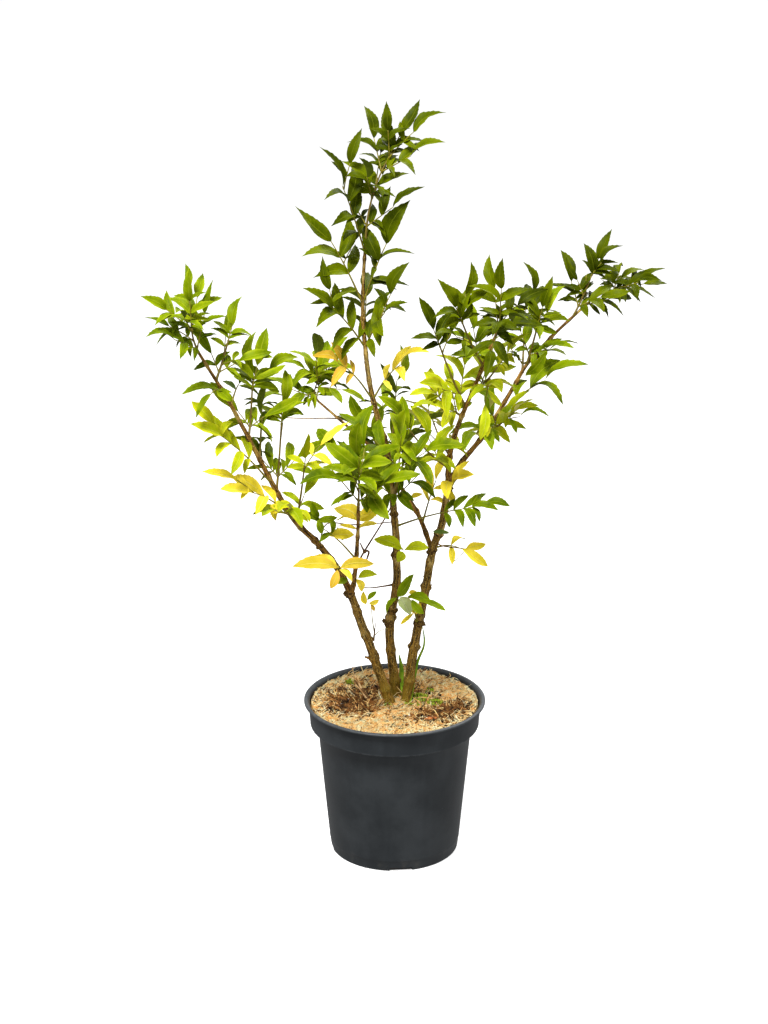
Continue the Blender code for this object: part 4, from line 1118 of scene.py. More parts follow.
# %% Numbers of the rule
GAP_STEP = GAP / 3
GAP_STEPS = 400
RING_POINTS = 6
ASKEW = Vector((0.1, 0.2, 1.0))
BLADE_WIDTH = 0.34
BLADE_WIDEST = 0.42
BLADE_ARCH = 0.07
BLADE_FOLD = 0.035
BLADE_SINK = 0.0003
BLADE_SPACING = 0.42
LEAF_OPEN = 54.0
LEAF_RISE = 0.32
CROWN_LEAF = 0.75
LOW_BLADE = 0.66
BLADE_OPEN_LOW = 47.0
BLADE_OPEN_HIGH = 32.0
SKY_TILT = 62.0
STEM_RADIUS = 0.0018
STEM_TO_LIMB = 0.8
STEM_STEPS = 4
FIRST_PAIR = 0.15
LAST_PAIR = 0.8
LOWEST_BLADE = 0.12
LEAF_TURN = 8.0
LEAF_VARIES = (0.85, 1.15)
BLADE_TURN = 7.0
BLADE_LIFT = (-0.3, 0.06)
BLADE_VARIES = (0.9, 1.12)
END_LIFT = (-0.25, 0.05)
END_VARIES = (1.02, 1.18)
LOOK_TURN = 0.22
SEED_STEP = 100
CROWN_SEED = 99
print("leaves open by", LEAF_OPEN, "degrees, leaflets by", BLADE_OPEN_HIGH, "to", BLADE_OPEN_LOW)

# %% The rule


def facing(degrees):
    """Return the way a shoot's leaves look, turned from the front about the upright."""
    turn, tilt = math.radians(degrees), math.radians(SKY_TILT)
    return Vector((math.sin(turn) * math.cos(tilt), -math.cos(turn) * math.cos(tilt), math.sin(tilt)))


def across(direction, look):
    """Return the sideways direction of something that points one way and looks another."""
    return direction.cross(look).normalized()


def bend(start, middle, end, steps):
    """Return points on a simple bow from start to end."""
    points = []
    for step in range(steps + 1):
        t = step / steps
        points.append(start * (1 - t) ** 2 + middle * (2 * t * (1 - t)) + end * t ** 2)
    return points


def blade_frame(root, direction, look, length, width):
    """Return the matrix that lays a blade of unit length at its root."""
    normal = (look - direction * look.dot(direction)).normalized()
    side = normal.cross(direction)
    sunk = root - direction * BLADE_SINK
    columns = (direction * length, side * width, normal * length, sunk)
    return Matrix([list(row) for row in zip(*columns)] + [[0.0, 0.0, 0.0, 1.0]])


def jitter(look, draw):
    """Return the look with a little seeded disorder."""
    return (look + Vector([draw.uniform(-LOOK_TURN, LOOK_TURN) for _ in range(3)])).normalized()


def leaflets_on(stalk, look, count, blade, draw, opening=0.0):
    """Return the frames of the leaflets on a stalk, in pairs and one at its end, opened by some degrees."""
    frames = []
    pairs = (count - 1) // 2
    for pair in range(pairs):
        share = max(LOWEST_BLADE, 1.0 - (pairs - pair) * BLADE_SPACING * blade / route_length(stalk))
        place, heading = point_along(stalk, share)
        grade = pair / max(1, pairs - 1)
        for hand in (-1, 1):
            angle = BLADE_OPEN_LOW + (BLADE_OPEN_HIGH - BLADE_OPEN_LOW) * grade
            angle = math.radians(angle + opening + draw.uniform(-BLADE_TURN, BLADE_TURN))
            direction = heading * math.cos(angle) + across(heading, look) * (hand * math.sin(angle))
            direction = direction + look * draw.uniform(*BLADE_LIFT)
            length = blade * (LOW_BLADE + (1.0 - LOW_BLADE) * grade) * draw.uniform(*BLADE_VARIES)
            frames.append(blade_frame(place, direction.normalized(), look, length, length * BLADE_WIDTH))
    place, heading = point_along(stalk, 1.0)
    direction = (heading + look * draw.uniform(*END_LIFT)).normalized()
    length = blade * draw.uniform(*END_VARIES)
    frames.append(blade_frame(place, direction, look, length, length * BLADE_WIDTH))
    return frames


def grow_leaf(base, heading, length, look, row, draw, opening):
    """Return the stalk of a leaf and the frames of its leaflets."""
    stalk = [base, base + heading * length]
    return stalk, leaflets_on(stalk, jitter(look, draw), row.leaflets, row.blade, draw, opening)


def plan_mass(row, number, route, start, opening=0.0):
    """Return the stem of a mass and its leaves, by the seeded rule."""
    look = facing(row.face)
    _, heading = point_along(route, row.along)
    tip = Vector(row.tip)
    if row.along == 1.0:
        middle = start + heading * ((tip - start).length * 0.5)
    else:
        middle = start.lerp(tip, 0.5)
    middle = middle + UP * row.bow
    stem = bend(start, middle, tip, STEM_STEPS)
    seed = SEED_STEP * number
    if row.pairs == 0:
        draw = random.Random(seed)
        blades = leaflets_on(stem, jitter(look, draw), row.leaflets, row.blade, draw, opening)
        return stem, [(None, blades)]
    leaves = []
    for pair in range(row.pairs):
        share = FIRST_PAIR + (LAST_PAIR - FIRST_PAIR) * pair / max(1, row.pairs - 1)
        node, rise = point_along(stem, share)
        side = across(rise, look)
        side = Matrix.Rotation(math.radians(row.spin + 90 * pair), 3, rise) @ side
        for hand in (-1, 1):
            draw = random.Random(seed + 2 * pair + (hand + 1) // 2 + 1)
            angle = math.radians(LEAF_OPEN + draw.uniform(-LEAF_TURN, LEAF_TURN))
            direction = rise * math.cos(angle) + side * (hand * math.sin(angle)) + UP * LEAF_RISE
            length = row.leaf * draw.uniform(*LEAF_VARIES)
            leaves.append(grow_leaf(node, direction.normalized(), length, look, row, draw, opening))
    _, rise = point_along(stem, 1.0)
    draw = random.Random(seed + CROWN_SEED)
    leaves.append(grow_leaf(tip, rise, row.leaf * CROWN_LEAF, look, row, draw, opening))
    return stem, leaves


print("a leaf that looks to the front faces", [round(v, 2) for v in facing(0.0)])

# %% [markdown]
# ## Where each shoot leaves its limb
# A shoot's solid starts a hair clear of the bark. To grow on from the same point, the rule steps out
# from the limb's centre until a ring round the shoot stands clear of every limb. A second search tells
# which leaflets the solids have: a blade is kept only where its tip and flank lie on its own solid. To
# list the starts and the leaflets by hand would be shorter, until a limb is moved.

# %% Start points and the solids' own leaflets
TOUCH = 0.0006


def solid_tree(*names):
    """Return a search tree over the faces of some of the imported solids."""
    corners, faces = [], []
    for name in names:
        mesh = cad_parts[name].data
        base = len(corners)
        corners += [v.co.copy() for v in mesh.vertices]
        faces += [[base + i for i in p.vertices] for p in mesh.polygons]
    return BVHTree.FromPolygons(corners, faces)


LIMB_TREE = solid_tree(*[limb.name for limb in LIMBS])
LIMB_ROWS = {limb.name: limb for limb in LIMBS}


def start_heading(row, route):
    """Return where a shoot leaves its limb's centre and the way it goes."""
    place, heading = point_along(route, row.along)
    return place, heading if row.along == 1.0 else (Vector(row.tip) - place).normalized()


def shoot_radius(row):
    """Return a shoot's radius, less than its limb's."""
    return min(STEM_RADIUS, STEM_TO_LIMB * taper(LIMB_ROWS[row.limb], row.along))


def clear_start(row, route, radius):
    """Return the first point where a ring round the shoot stands clear of the limbs."""
    place, direction = start_heading(row, route)
    one = across(direction, ASKEW)
    two = direction.cross(one)
    turns = [math.tau * k / RING_POINTS for k in range(RING_POINTS)]
    for count in range(GAP_STEPS):
        centre = place + direction * (GAP_STEP * count)
        ring = [centre + (one * math.cos(a) + two * math.sin(a)) * radius for a in turns]
        outside = []
        for corner in [centre] + ring:
            near, normal, _, distance = LIMB_TREE.find_nearest(corner)
            outside.append(distance > GAP and (corner - near).dot(normal) > 0)
        if all(outside):
            return centre
    return place


def on_solid(tree, blade):
    """Say whether a blade's tip and flank lie on the solid of its mass."""
    spots = (Vector((1.0, 0.0, 0.0)), Vector((BLADE_WIDEST, 0.5, BLADE_ARCH + BLADE_FOLD)))
    return all(tree.find_nearest(blade @ spot)[3] < TOUCH for spot in spots)


print("limbs to start from:", len(LIMB_ROWS))

# %% [markdown]
# ## One leaflet
# High on the leader a leaflet is lance-shaped and drawn out to a fine tip. Lower down it is broadest at
# its middle and blunter. Both have small teeth that lean forward. The template is a sheet of corners, and
# a second sheet, a third of a millimetre below, shares its margin: so the leaf is closed, and its
# underside can be paler. A picture of a leaf on a flat card would be lighter, but it can't fold or cast
# the shadow of its own outline.

# %% Leaflet template
BLADE_ROWS = 19
BLADE_COLUMNS = np.array([-1.0, -0.55, 0.0, 0.55, 1.0])
BLADE_STEPS = np.linspace(0.0, 1.0, BLADE_ROWS)
FOOT_WIDTH = 0.035
POINT_WIDTH = 0.012
FIRST_TOOTH, LAST_TOOTH = 0.36, 0.93
UNDERSIDE = 2


def leaf_outline(rise, fall):
    """Return the share of its full width that a leaflet has at each step from foot to tip."""
    curve = BLADE_STEPS ** rise * (1.0 - BLADE_STEPS) ** fall
    return np.maximum(curve / curve.max(), np.where(BLADE_STEPS < 0.5, FOOT_WIDTH, POINT_WIDTH))


SLENDER = leaf_outline(0.78, 1.22)
BLUNT = leaf_outline(1.0, 0.88)
toothed = (np.arange(BLADE_ROWS) % 2 == 1) & (BLADE_STEPS > FIRST_TOOTH) & (BLADE_STEPS < LAST_TOOTH)
upper = sheet(BLADE_ROWS, len(BLADE_COLUMNS))
grid = np.arange(BLADE_ROWS * len(BLADE_COLUMNS)).reshape(BLADE_ROWS, -1)
inner = np.zeros(grid.shape, bool)
inner[1:-1, 1:-1] = True
under = grid.copy()
under[inner] = np.arange(grid.size, grid.size + inner.sum())
lower = under.ravel()[upper][:, ::-1]
BLADE_FACES = np.concatenate([upper, lower])
BLADE_SKINS = np.concatenate([np.zeros(len(upper), int), np.full(len(lower), UNDERSIDE)])
sideways = np.tile((BLADE_COLUMNS + 1.0) / 2.0, BLADE_ROWS)
BLADE_UV = np.stack([np.repeat(BLADE_STEPS, len(BLADE_COLUMNS)), sideways], 1)
BLADE_UV = np.concatenate([BLADE_UV, BLADE_UV[inner.ravel()]])
print("one leaflet has", len(BLADE_FACES), "triangles")

# %% [markdown]
# ## How a leaflet hangs
# No two leaflets hang alike: each folds along its midrib, bows, droops, twists and waves its margin a
# little. Ten numbers drawn by a seed stand for that. Simple Deform modifiers could do it for one leaf, but
# there are many hundreds. The outline goes from blunt low on the shrub to slender at its top.

# %% Leaflet corners
LEAF_THICKNESS = 0.00034
TOOTH = 0.006
TOOTH_EVEN = 0.4
TOOTH_LEAN = 0.45
BLUNT_BELOW = 0.84
BLUNT_DEPTH = 0.16
CURL_POWER = 2.6
RIPPLE_TURNS = 19.0
RIPPLE_SHIFT = 1.1
RIB_DEPTH = 0.006
BOW_LEAN = 0.85
Habit = namedtuple("Habit", "width arch fold curl sickle roll twist ripple phase droop")
HABITS = Habit(width=(0.83, 1.04), arch=(0.05, 0.17), fold=(0.34, 0.86), curl=(0.2, 0.6),
               sickle=(-0.13, 0.13), roll=(-34.0, 34.0), twist=(-38.0, 38.0), ripple=(0.005, 0.017),
               phase=(0.0, math.tau), droop=(0.04, 0.26))


def random_habit(draw):
    """Return the seeded habit of one leaflet, with roll and twist in degrees."""
    return Habit(*[draw.uniform(*limits) for limits in HABITS])


def leaflet_corners(blade, habit):
    """Return the corners of one leaflet laid in its frame."""
    forward, side, up, root = np.array(blade)[:3].T
    length, width = np.linalg.norm(forward), np.linalg.norm(side) * habit.width
    forward, side, up = forward / length, side / np.linalg.norm(side), up / np.linalg.norm(up)
    blunt = np.clip((BLUNT_BELOW - root[2]) / BLUNT_DEPTH, 0.0, 1.0)
    outline = (SLENDER + blunt * (BLUNT - SLENDER))[:, None]
    step = BLADE_STEPS[:, None]
    column = BLADE_COLUMNS[None, :]
    half = outline * width / 2
    margin = (np.abs(column) == 1.0) & toothed[:, None]
    tooth = np.sign(column) * TOOTH * length * (TOOTH_EVEN + (1.0 - TOOTH_EVEN) * outline)
    reach = half * column + np.where(margin, tooth, 0.0)
    along = (step + np.where(margin, TOOTH_LEAN / BLADE_ROWS, 0.0)) * length
    fold = habit.fold * half * (np.abs(column) - habit.curl * np.abs(column) ** CURL_POWER)
    wave = np.sin(step * RIPPLE_TURNS + habit.phase + np.sign(column) * RIPPLE_SHIFT)
    ripple = habit.ripple * length * wave * column ** 2 * outline
    rib = -RIB_DEPTH * width * (column == 0.0) * outline
    lift = fold + ripple + rib
    roll, twist = math.radians(habit.roll), math.radians(habit.twist)
    turn = roll * np.sin(step * math.pi * 0.5) + twist * (step - 0.5)
    sickle = habit.sickle * length * np.sin(math.pi * step)
    bow = habit.arch * length * np.sin(math.pi * step ** BOW_LEAN)
    across_it = reach * np.cos(turn) - lift * np.sin(turn) + sickle
    above_it = reach * np.sin(turn) + lift * np.cos(turn) + bow
    top = root + along[..., None] * forward + across_it[..., None] * side + above_it[..., None] * up
    down = np.array([0.0, 0.0, -1.0]) + forward * forward[2]
    top = top + (habit.droop * length * step ** 2)[..., None] * down
    drop = LEAF_THICKNESS * (np.cos(turn)[..., None] * up - np.sin(turn)[..., None] * side)
    bottom = (top - drop)[1:-1, 1:-1]
    return np.concatenate([top.reshape(-1, 3), bottom.reshape(-1, 3)])


print("first habit:", [round(value, 3) for value in random_habit(random.Random(0))])

# %% [markdown]
# ## Twigs, stalks and leaflets
# A shoot of elder is a green twig that is thicker where it joins the bark, and its leaf stalks are thin
# and a little swollen at the foot. Curves with a bevel could make them, but a swept mesh joins all of
# them in one piece. Each leaf also bears two smaller leaflets near the foot of its stalk.

# %% Twigs, stalks and leaflets
TINT_NAMES = ("olive", "leaf", "spring", "pale", "lime", "fresh", "yellow", "ochre")
leaf_piles = {name: Pile() for name in TINT_NAMES}
twigs = Pile()
TWIG_SKINS = [TWIG, STALK, DRY, YOUNG_BARK, SPLINTER]
GREEN_TWIG, GREEN_STALK, DRY_TWIG, WOODY, SPLIT_WOOD = range(len(TWIG_SKINS))
STALK_SIDES = 7
SWELL_LENGTH = 0.05
FOOT_PAIRS = {5: ((0.2, 0.3), (0.42, 0.58)), 3: ((0.35, 0.45), (0.6, 0.8))}
FOOT_PAIR_OPEN = (54.0, 72.0)
FOOT_PAIR_LIFT = (-0.35, 0.0)


def add_tube(pile, route, start, end, sides, skin, swell):
    """Add a tapering tube along a route, thicker at its foot by a share."""
    radii = []
    for share in lengths_along(route):
        bell = math.exp(-(share / SWELL_LENGTH) ** 2)
        radii.append(start + (end - start) * share + swell * start * bell)
    corners, triangles, maps, places = swept(route, radii, sides)
    pile.add(corners, triangles, skin, maps, places)


def add_leaflet(tint, blade, draw, shade):
    """Lay one leaflet in the pile of its tint."""
    corners = leaflet_corners(blade, random_habit(draw))
    skins = np.where(BLADE_SKINS == UNDERSIDE, UNDERSIDE, shade)
    leaf_piles[tint].add(corners, BLADE_FACES, skins, BLADE_UV)


def foot_pair(stalk, look, row, draw):
    """Return the frames of the two small blades near the foot of a leaf's stalk."""
    frames = []
    share, size = FOOT_PAIRS[row.leaflets]
    place, heading = point_along(stalk, draw.uniform(*share))
    for hand in (-1, 1):
        angle = math.radians(draw.uniform(*FOOT_PAIR_OPEN))
        direction = heading * math.cos(angle) + across(heading, look) * (hand * math.sin(angle))
        direction = (direction + look * draw.uniform(*FOOT_PAIR_LIFT)).normalized()
        length = row.blade * draw.uniform(*size)
        frames.append(blade_frame(place, direction, look, length, length * BLADE_WIDTH))
    return frames


print("leaf tints:", ", ".join(TINT_NAMES))

# %% [markdown]
# ## Grow the crown
# Each shoot is grown from the rule twice. The first time it gives the solids' own leaflets, which say
# which ones are kept. The second time they open wider, as they do in the photograph, and those are laid.
# A spray takes one of two shades of its tint, so neighbours differ, and in some masses only the leaf at the
# top keeps the tint, while the lower ones have turned. In masses whose leaflets are listed one by one, the
# grown leaflets are left out.

# %% Grow every mass
OPENING = 14.0
MASS_SEED = 9000
SHOOT_STEP = 0.006
SHOOT_SIDES = 9
STALK_FOOT, STALK_TIP = 0.00105, 0.0006
STALK_STEPS = 8
HAND_LAID = ("foot_yellow", "centre_lime", "centre_low")
TURNED = {"inner_left": "lime", "inner_upper": "spring", "centre_mid": "leaf", "outer_upper": "spring",
          "outer_back": "spring", "reach_left": "lime", "left_inner": "leaf", "left_side": "leaf",
          "left_tip": "leaf"}
STEMS = {}
kept = dropped = 0
for number, row in enumerate(MASSES, 1):
    route = ROUTES[row.limb]
    radius = shoot_radius(row)
    start = clear_start(row, route, radius)
    stem, leaves = plan_mass(row, number, route, start)
    _, opened = plan_mass(row, number, route, start, OPENING)
    STEMS[row.name] = (row, stem)
    tree = solid_tree(row.name)
    draw = random.Random(MASS_SEED + number)
    place, _ = start_heading(row, route)
    shoot = [place] + smooth_route(stem, SHOOT_STEP)
    foot, slimmer, skin = (radius, 0.62, GREEN_TWIG) if row.pairs else (radius * 0.85, 0.42, GREEN_STALK)
    add_tube(twigs, shoot, foot, foot * slimmer, SHOOT_SIDES, skin, 0.5)
    look = facing(row.face)
    for index, ((stalk, blades), (_, wide)) in enumerate(zip(leaves, opened)):
        shade = draw.randrange(2)
        top_leaf = index == len(leaves) - 1
        tint = row.tint if top_leaf else TURNED.get(row.name, row.tint)
        if stalk:
            line = bend(stalk[0], stalk[0].lerp(stalk[1], 0.5), stalk[1], STALK_STEPS)
            add_tube(twigs, line, STALK_FOOT, STALK_TIP, STALK_SIDES, GREEN_STALK, 0.6)
        if stalk and row.leaflets in FOOT_PAIRS:
            for blade in foot_pair(line, look, row, draw):
                add_leaflet(tint, blade, draw, shade)
        for blade, wider in zip(blades, wide):
            if row.name in HAND_LAID or not on_solid(tree, blade):
                dropped += 1
                continue
            kept += 1
            add_leaflet(tint, wider, draw, shade)
print("leaflets kept:", kept, "left out:", dropped)

# %% [markdown]
# ## Finer sprays
# The rule is carried one step further here: from the stem of a mass grow smaller leaves whose stalks the
# solids leave out. Each row names the mass, how far along its stem the stalk leaves, where it ends, how
# many leaflets it bears, and a tint where that isn't the mass's own. They fill the sprays out to the
# reach that the photograph shows. More leaflets by the rule alone would have filled the gaps of sky too.

# %% Finer sprays
Fill = namedtuple("Fill", "mass along tip leaflets blade tint", defaults=(None,))
FILLS = (
    Fill("left_tip", 0.8, (-0.296, -0.135, 0.832), 5, 0.034, "leaf"),
    Fill("left_tip", 0.45, (-0.295, -0.115, 0.805), 5, 0.034, "leaf"),
    Fill("left_tip", 0.95, (-0.27, -0.1, 0.85), 3, 0.034),
    Fill("left_side", 0.6, (-0.225, -0.07, 0.78), 3, 0.038),
    Fill("left_side", 0.35, (-0.2, -0.09, 0.755), 3, 0.034),
    Fill("left_upper", 0.9, (-0.185, -0.05, 0.735), 5, 0.048),
    Fill("left_upper", 0.95, (-0.17, -0.035, 0.722), 3, 0.046),
    Fill("left_out", 1.0, (-0.238, -0.122, 0.672), 3, 0.042),
    Fill("left_yellow", 1.0, (-0.213, -0.1, 0.59), 3, 0.046),
    Fill("left_twig", 1.0, (-0.1, -0.08, 0.632), 3, 0.044, "yellow"),
    Fill("left_inner", 0.6, (-0.15, -0.01, 0.67), 3, 0.042),
    Fill("back_tip", 0.95, (-0.13, 0.17, 0.67), 5, 0.036),
    Fill("back_tip", 0.6, (-0.078, 0.16, 0.642), 5, 0.04),
    Fill("back_tip", 0.4, (-0.13, 0.15, 0.635), 3, 0.04),
    Fill("back_tip", 0.9, (-0.105, 0.205, 0.675), 3, 0.038),
    Fill("front_cluster", 0.55, (-0.075, -0.085, 0.622), 3, 0.05),
    Fill("outer_low", 0.5, (0.13, 0.005, 0.66), 5, 0.05, "fresh"),
    Fill("outer_low", 0.3, (0.112, -0.02, 0.632), 5, 0.046, "fresh"),
    Fill("inner_out", 0.6, (0.12, -0.08, 0.69), 3, 0.046, "fresh"),
    Fill("outer_low", 0.95, (0.172, 0.01, 0.646), 3, 0.036, "fresh"),
    Fill("outer_up", 0.45, (0.255, 0.125, 0.812), 5, 0.034),
    Fill("outer_up", 1.0, (0.288, 0.12, 0.838), 5, 0.034),
    Fill("outer_tip", 0.35, (0.318, 0.14, 0.812), 5, 0.034),
    Fill("outer_tip", 0.8, (0.345, 0.14, 0.815), 3, 0.032),
    Fill("inner_upper", 1.0, (0.092, -0.1, 0.845), 5, 0.04),
    Fill("inner_upper", 0.5, (0.08, -0.11, 0.79), 3, 0.04),
    Fill("inner_tip", 0.8, (0.16, -0.1, 0.83), 5, 0.04),
    Fill("inner_left", 0.9, (0.075, -0.06, 0.785), 3, 0.044),
    Fill("outer_upper", 0.95, (0.19, 0.075, 0.805), 5, 0.042),
    Fill("outer_back", 0.7, (0.2, 0.19, 0.76), 5, 0.042),
    Fill("top", 1.0, (-0.01, 0.012, 1.04), 5, 0.034),
    Fill("top", 0.95, (0.024, 0.01, 1.038), 3, 0.044),
    Fill("top", 0.6, (-0.02, 0.04, 1.005), 3, 0.044),
    Fill("top_left", 0.95, (-0.06, -0.01, 1.0), 3, 0.044),
    Fill("centre_left", 1.0, (-0.088, -0.02, 0.832), 3, 0.044),
    Fill("centre_right", 0.8, (-0.006, -0.03, 0.828), 3, 0.05),
    Fill("upper_right", 0.5, (-0.03, 0.0, 0.862), 3, 0.036),
    Fill("upper_left", 0.6, (-0.06, 0.01, 0.88), 3, 0.036),
    Fill("centre_twig", 0.95, (0.12, -0.05, 0.537), 3, 0.036),
)
FILL_SEED = 7000
FILL_FOOT, FILL_TIP = 0.00095, 0.00055
FILL_BOW = 0.08
FILL_STEPS = 6
for number, fill in enumerate(FILLS):
    row, stem = STEMS[fill.mass]
    draw = random.Random(FILL_SEED + number)
    start, _ = point_along(stem, fill.along)
    tip = Vector(fill.tip)
    stalk = bend(start, start.lerp(tip, 0.5) + UP * FILL_BOW * (tip - start).length, tip, FILL_STEPS)
    look = jitter(facing(row.face), draw)
    add_tube(twigs, stalk, FILL_FOOT, FILL_TIP, STALK_SIDES, GREEN_STALK, 0.5)
    shade = draw.randrange(2)
    for blade in leaflets_on(stalk, look, fill.leaflets, fill.blade, draw, OPENING):
        add_leaflet(fill.tint or row.tint, blade, draw, shade)
print("finer sprays:", len(FILLS))

# %% [markdown]
# ## Small growths between the stems
# Low down the real shrub has dry side shoots, broken stubs and single young leaflets, each in a place of
# its own. No rule would set them there, so they are written as rows: the points that a sprig passes, its
# thickness at both ends and its finish; for a leaflet the tint, foot, tip, the way it looks and its width.

# %% Sprigs
Sprig = namedtuple("Sprig", "points start end skin")
SPRIGS = (
    Sprig(((-0.078, 0.148, 0.6), (-0.088, 0.11, 0.614), (-0.135, 0.11, 0.614), (-0.185, 0.1, 0.619)),
          0.0012, 0.0006, WOODY),
    Sprig(((-0.06, -0.035, 0.425), (-0.046, -0.03, 0.456), (-0.016, -0.02, 0.504),
           (-0.003, -0.02, 0.53)), 0.0016, 0.0009, DRY_TWIG),
    Sprig(((-0.105, -0.036, 0.474), (-0.094, -0.03, 0.503), (-0.059, -0.03, 0.502), (-0.022, 0.0, 0.494),
           (0.0, 0.018, 0.49)), 0.0009, 0.0008, DRY_TWIG),
    Sprig(((-0.004, 0.027, 0.392), (-0.02, 0.006, 0.397), (-0.036, -0.012, 0.402), (-0.052, -0.02, 0.407)),
          0.0015, 0.0006, DRY_TWIG),
    Sprig(((-0.041, -0.038, 0.464), (-0.044, -0.04, 0.47), (-0.048, -0.04, 0.479)),
          0.0017, 0.0009, DRY_TWIG),
    Sprig(((-0.044, -0.038, 0.466), (-0.036, -0.04, 0.466), (-0.04, -0.042, 0.452)),
          0.0019, 0.001, DRY_TWIG),
    Sprig(((-0.031, 0.0, 0.318), (-0.029, -0.002, 0.33), (-0.031, -0.002, 0.345), (-0.034, 0.0, 0.375)),
          0.0011, 0.0004, GREEN_STALK),
    Sprig(((-0.029, -0.002, 0.326), (-0.022, -0.003, 0.333), (-0.01, -0.003, 0.338)),
          0.0007, 0.0004, GREEN_STALK),
    Sprig(((-0.03, -0.001, 0.318), (-0.029, -0.002, 0.326), (-0.027, -0.004, 0.347)),
          0.0014, 0.0004, DRY_TWIG),
    Sprig(((0.056, 0.02, 0.46), (0.068, 0.006, 0.458), (0.1, 0.0, 0.456)), 0.0011, 0.0006, WOODY),
    Sprig(((0.1, 0.0, 0.457), (0.09, -0.002, 0.444), (0.072, -0.002, 0.43)),
          0.0006, 0.0004, GREEN_STALK),
    Sprig(((0.084, 0.0, 0.533), (0.0835, 0.0, 0.519), (0.0845, 0.0, 0.506)), 0.0004, 0.0003, DRY_TWIG),
    Sprig(((0.078, 0.014, 0.541), (0.081, 0.006, 0.536), (0.084, 0.0, 0.533)), 0.0007, 0.0004, DRY_TWIG),
    Sprig(((0.036, 0.018, 0.339), (0.03, 0.01, 0.343), (0.027, 0.004, 0.352)), 0.0013, 0.0006, GREEN_STALK),
    Sprig(((0.044, 0.018, 0.388), (0.05, 0.014, 0.393), (0.053, 0.012, 0.4)), 0.001, 0.0005, WOODY),
    Sprig(((0.03, 0.012, 0.349), (0.038, 0.006, 0.36), (0.042, 0.002, 0.372)), 0.0007, 0.0004, GREEN_STALK),
    Sprig(((-0.036, 0.023, 0.212), (-0.043, 0.027, 0.224), (-0.052, 0.034, 0.234), (-0.058, 0.04, 0.24)),
          0.0038, 0.0012, DRY_TWIG),
    Sprig(((-0.044, 0.026, 0.222), (-0.052, 0.034, 0.238), (-0.059, 0.042, 0.248), (-0.062, 0.046, 0.26)),
          0.0016, 0.0005, SPLIT_WOOD),
    Sprig(((-0.04, 0.022, 0.218), (-0.05, 0.028, 0.23), (-0.06, 0.036, 0.24)),
          0.0014, 0.0005, SPLIT_WOOD),
    Sprig(((-0.046, 0.026, 0.214), (-0.056, 0.03, 0.222), (-0.066, 0.036, 0.228)), 0.0022, 0.0008, DRY_TWIG),
    Sprig(((-0.036, -0.003, 0.292), (-0.042, -0.006, 0.295)), 0.002, 0.0016, WOODY),
)
SPRIG_STEP = 0.003
for sprig in SPRIGS:
    route = smooth_route(sprig.points, SPRIG_STEP)
    add_tube(twigs, route, sprig.start, sprig.end, STALK_SIDES, sprig.skin, 0.3)
print("sprigs:", len(SPRIGS))

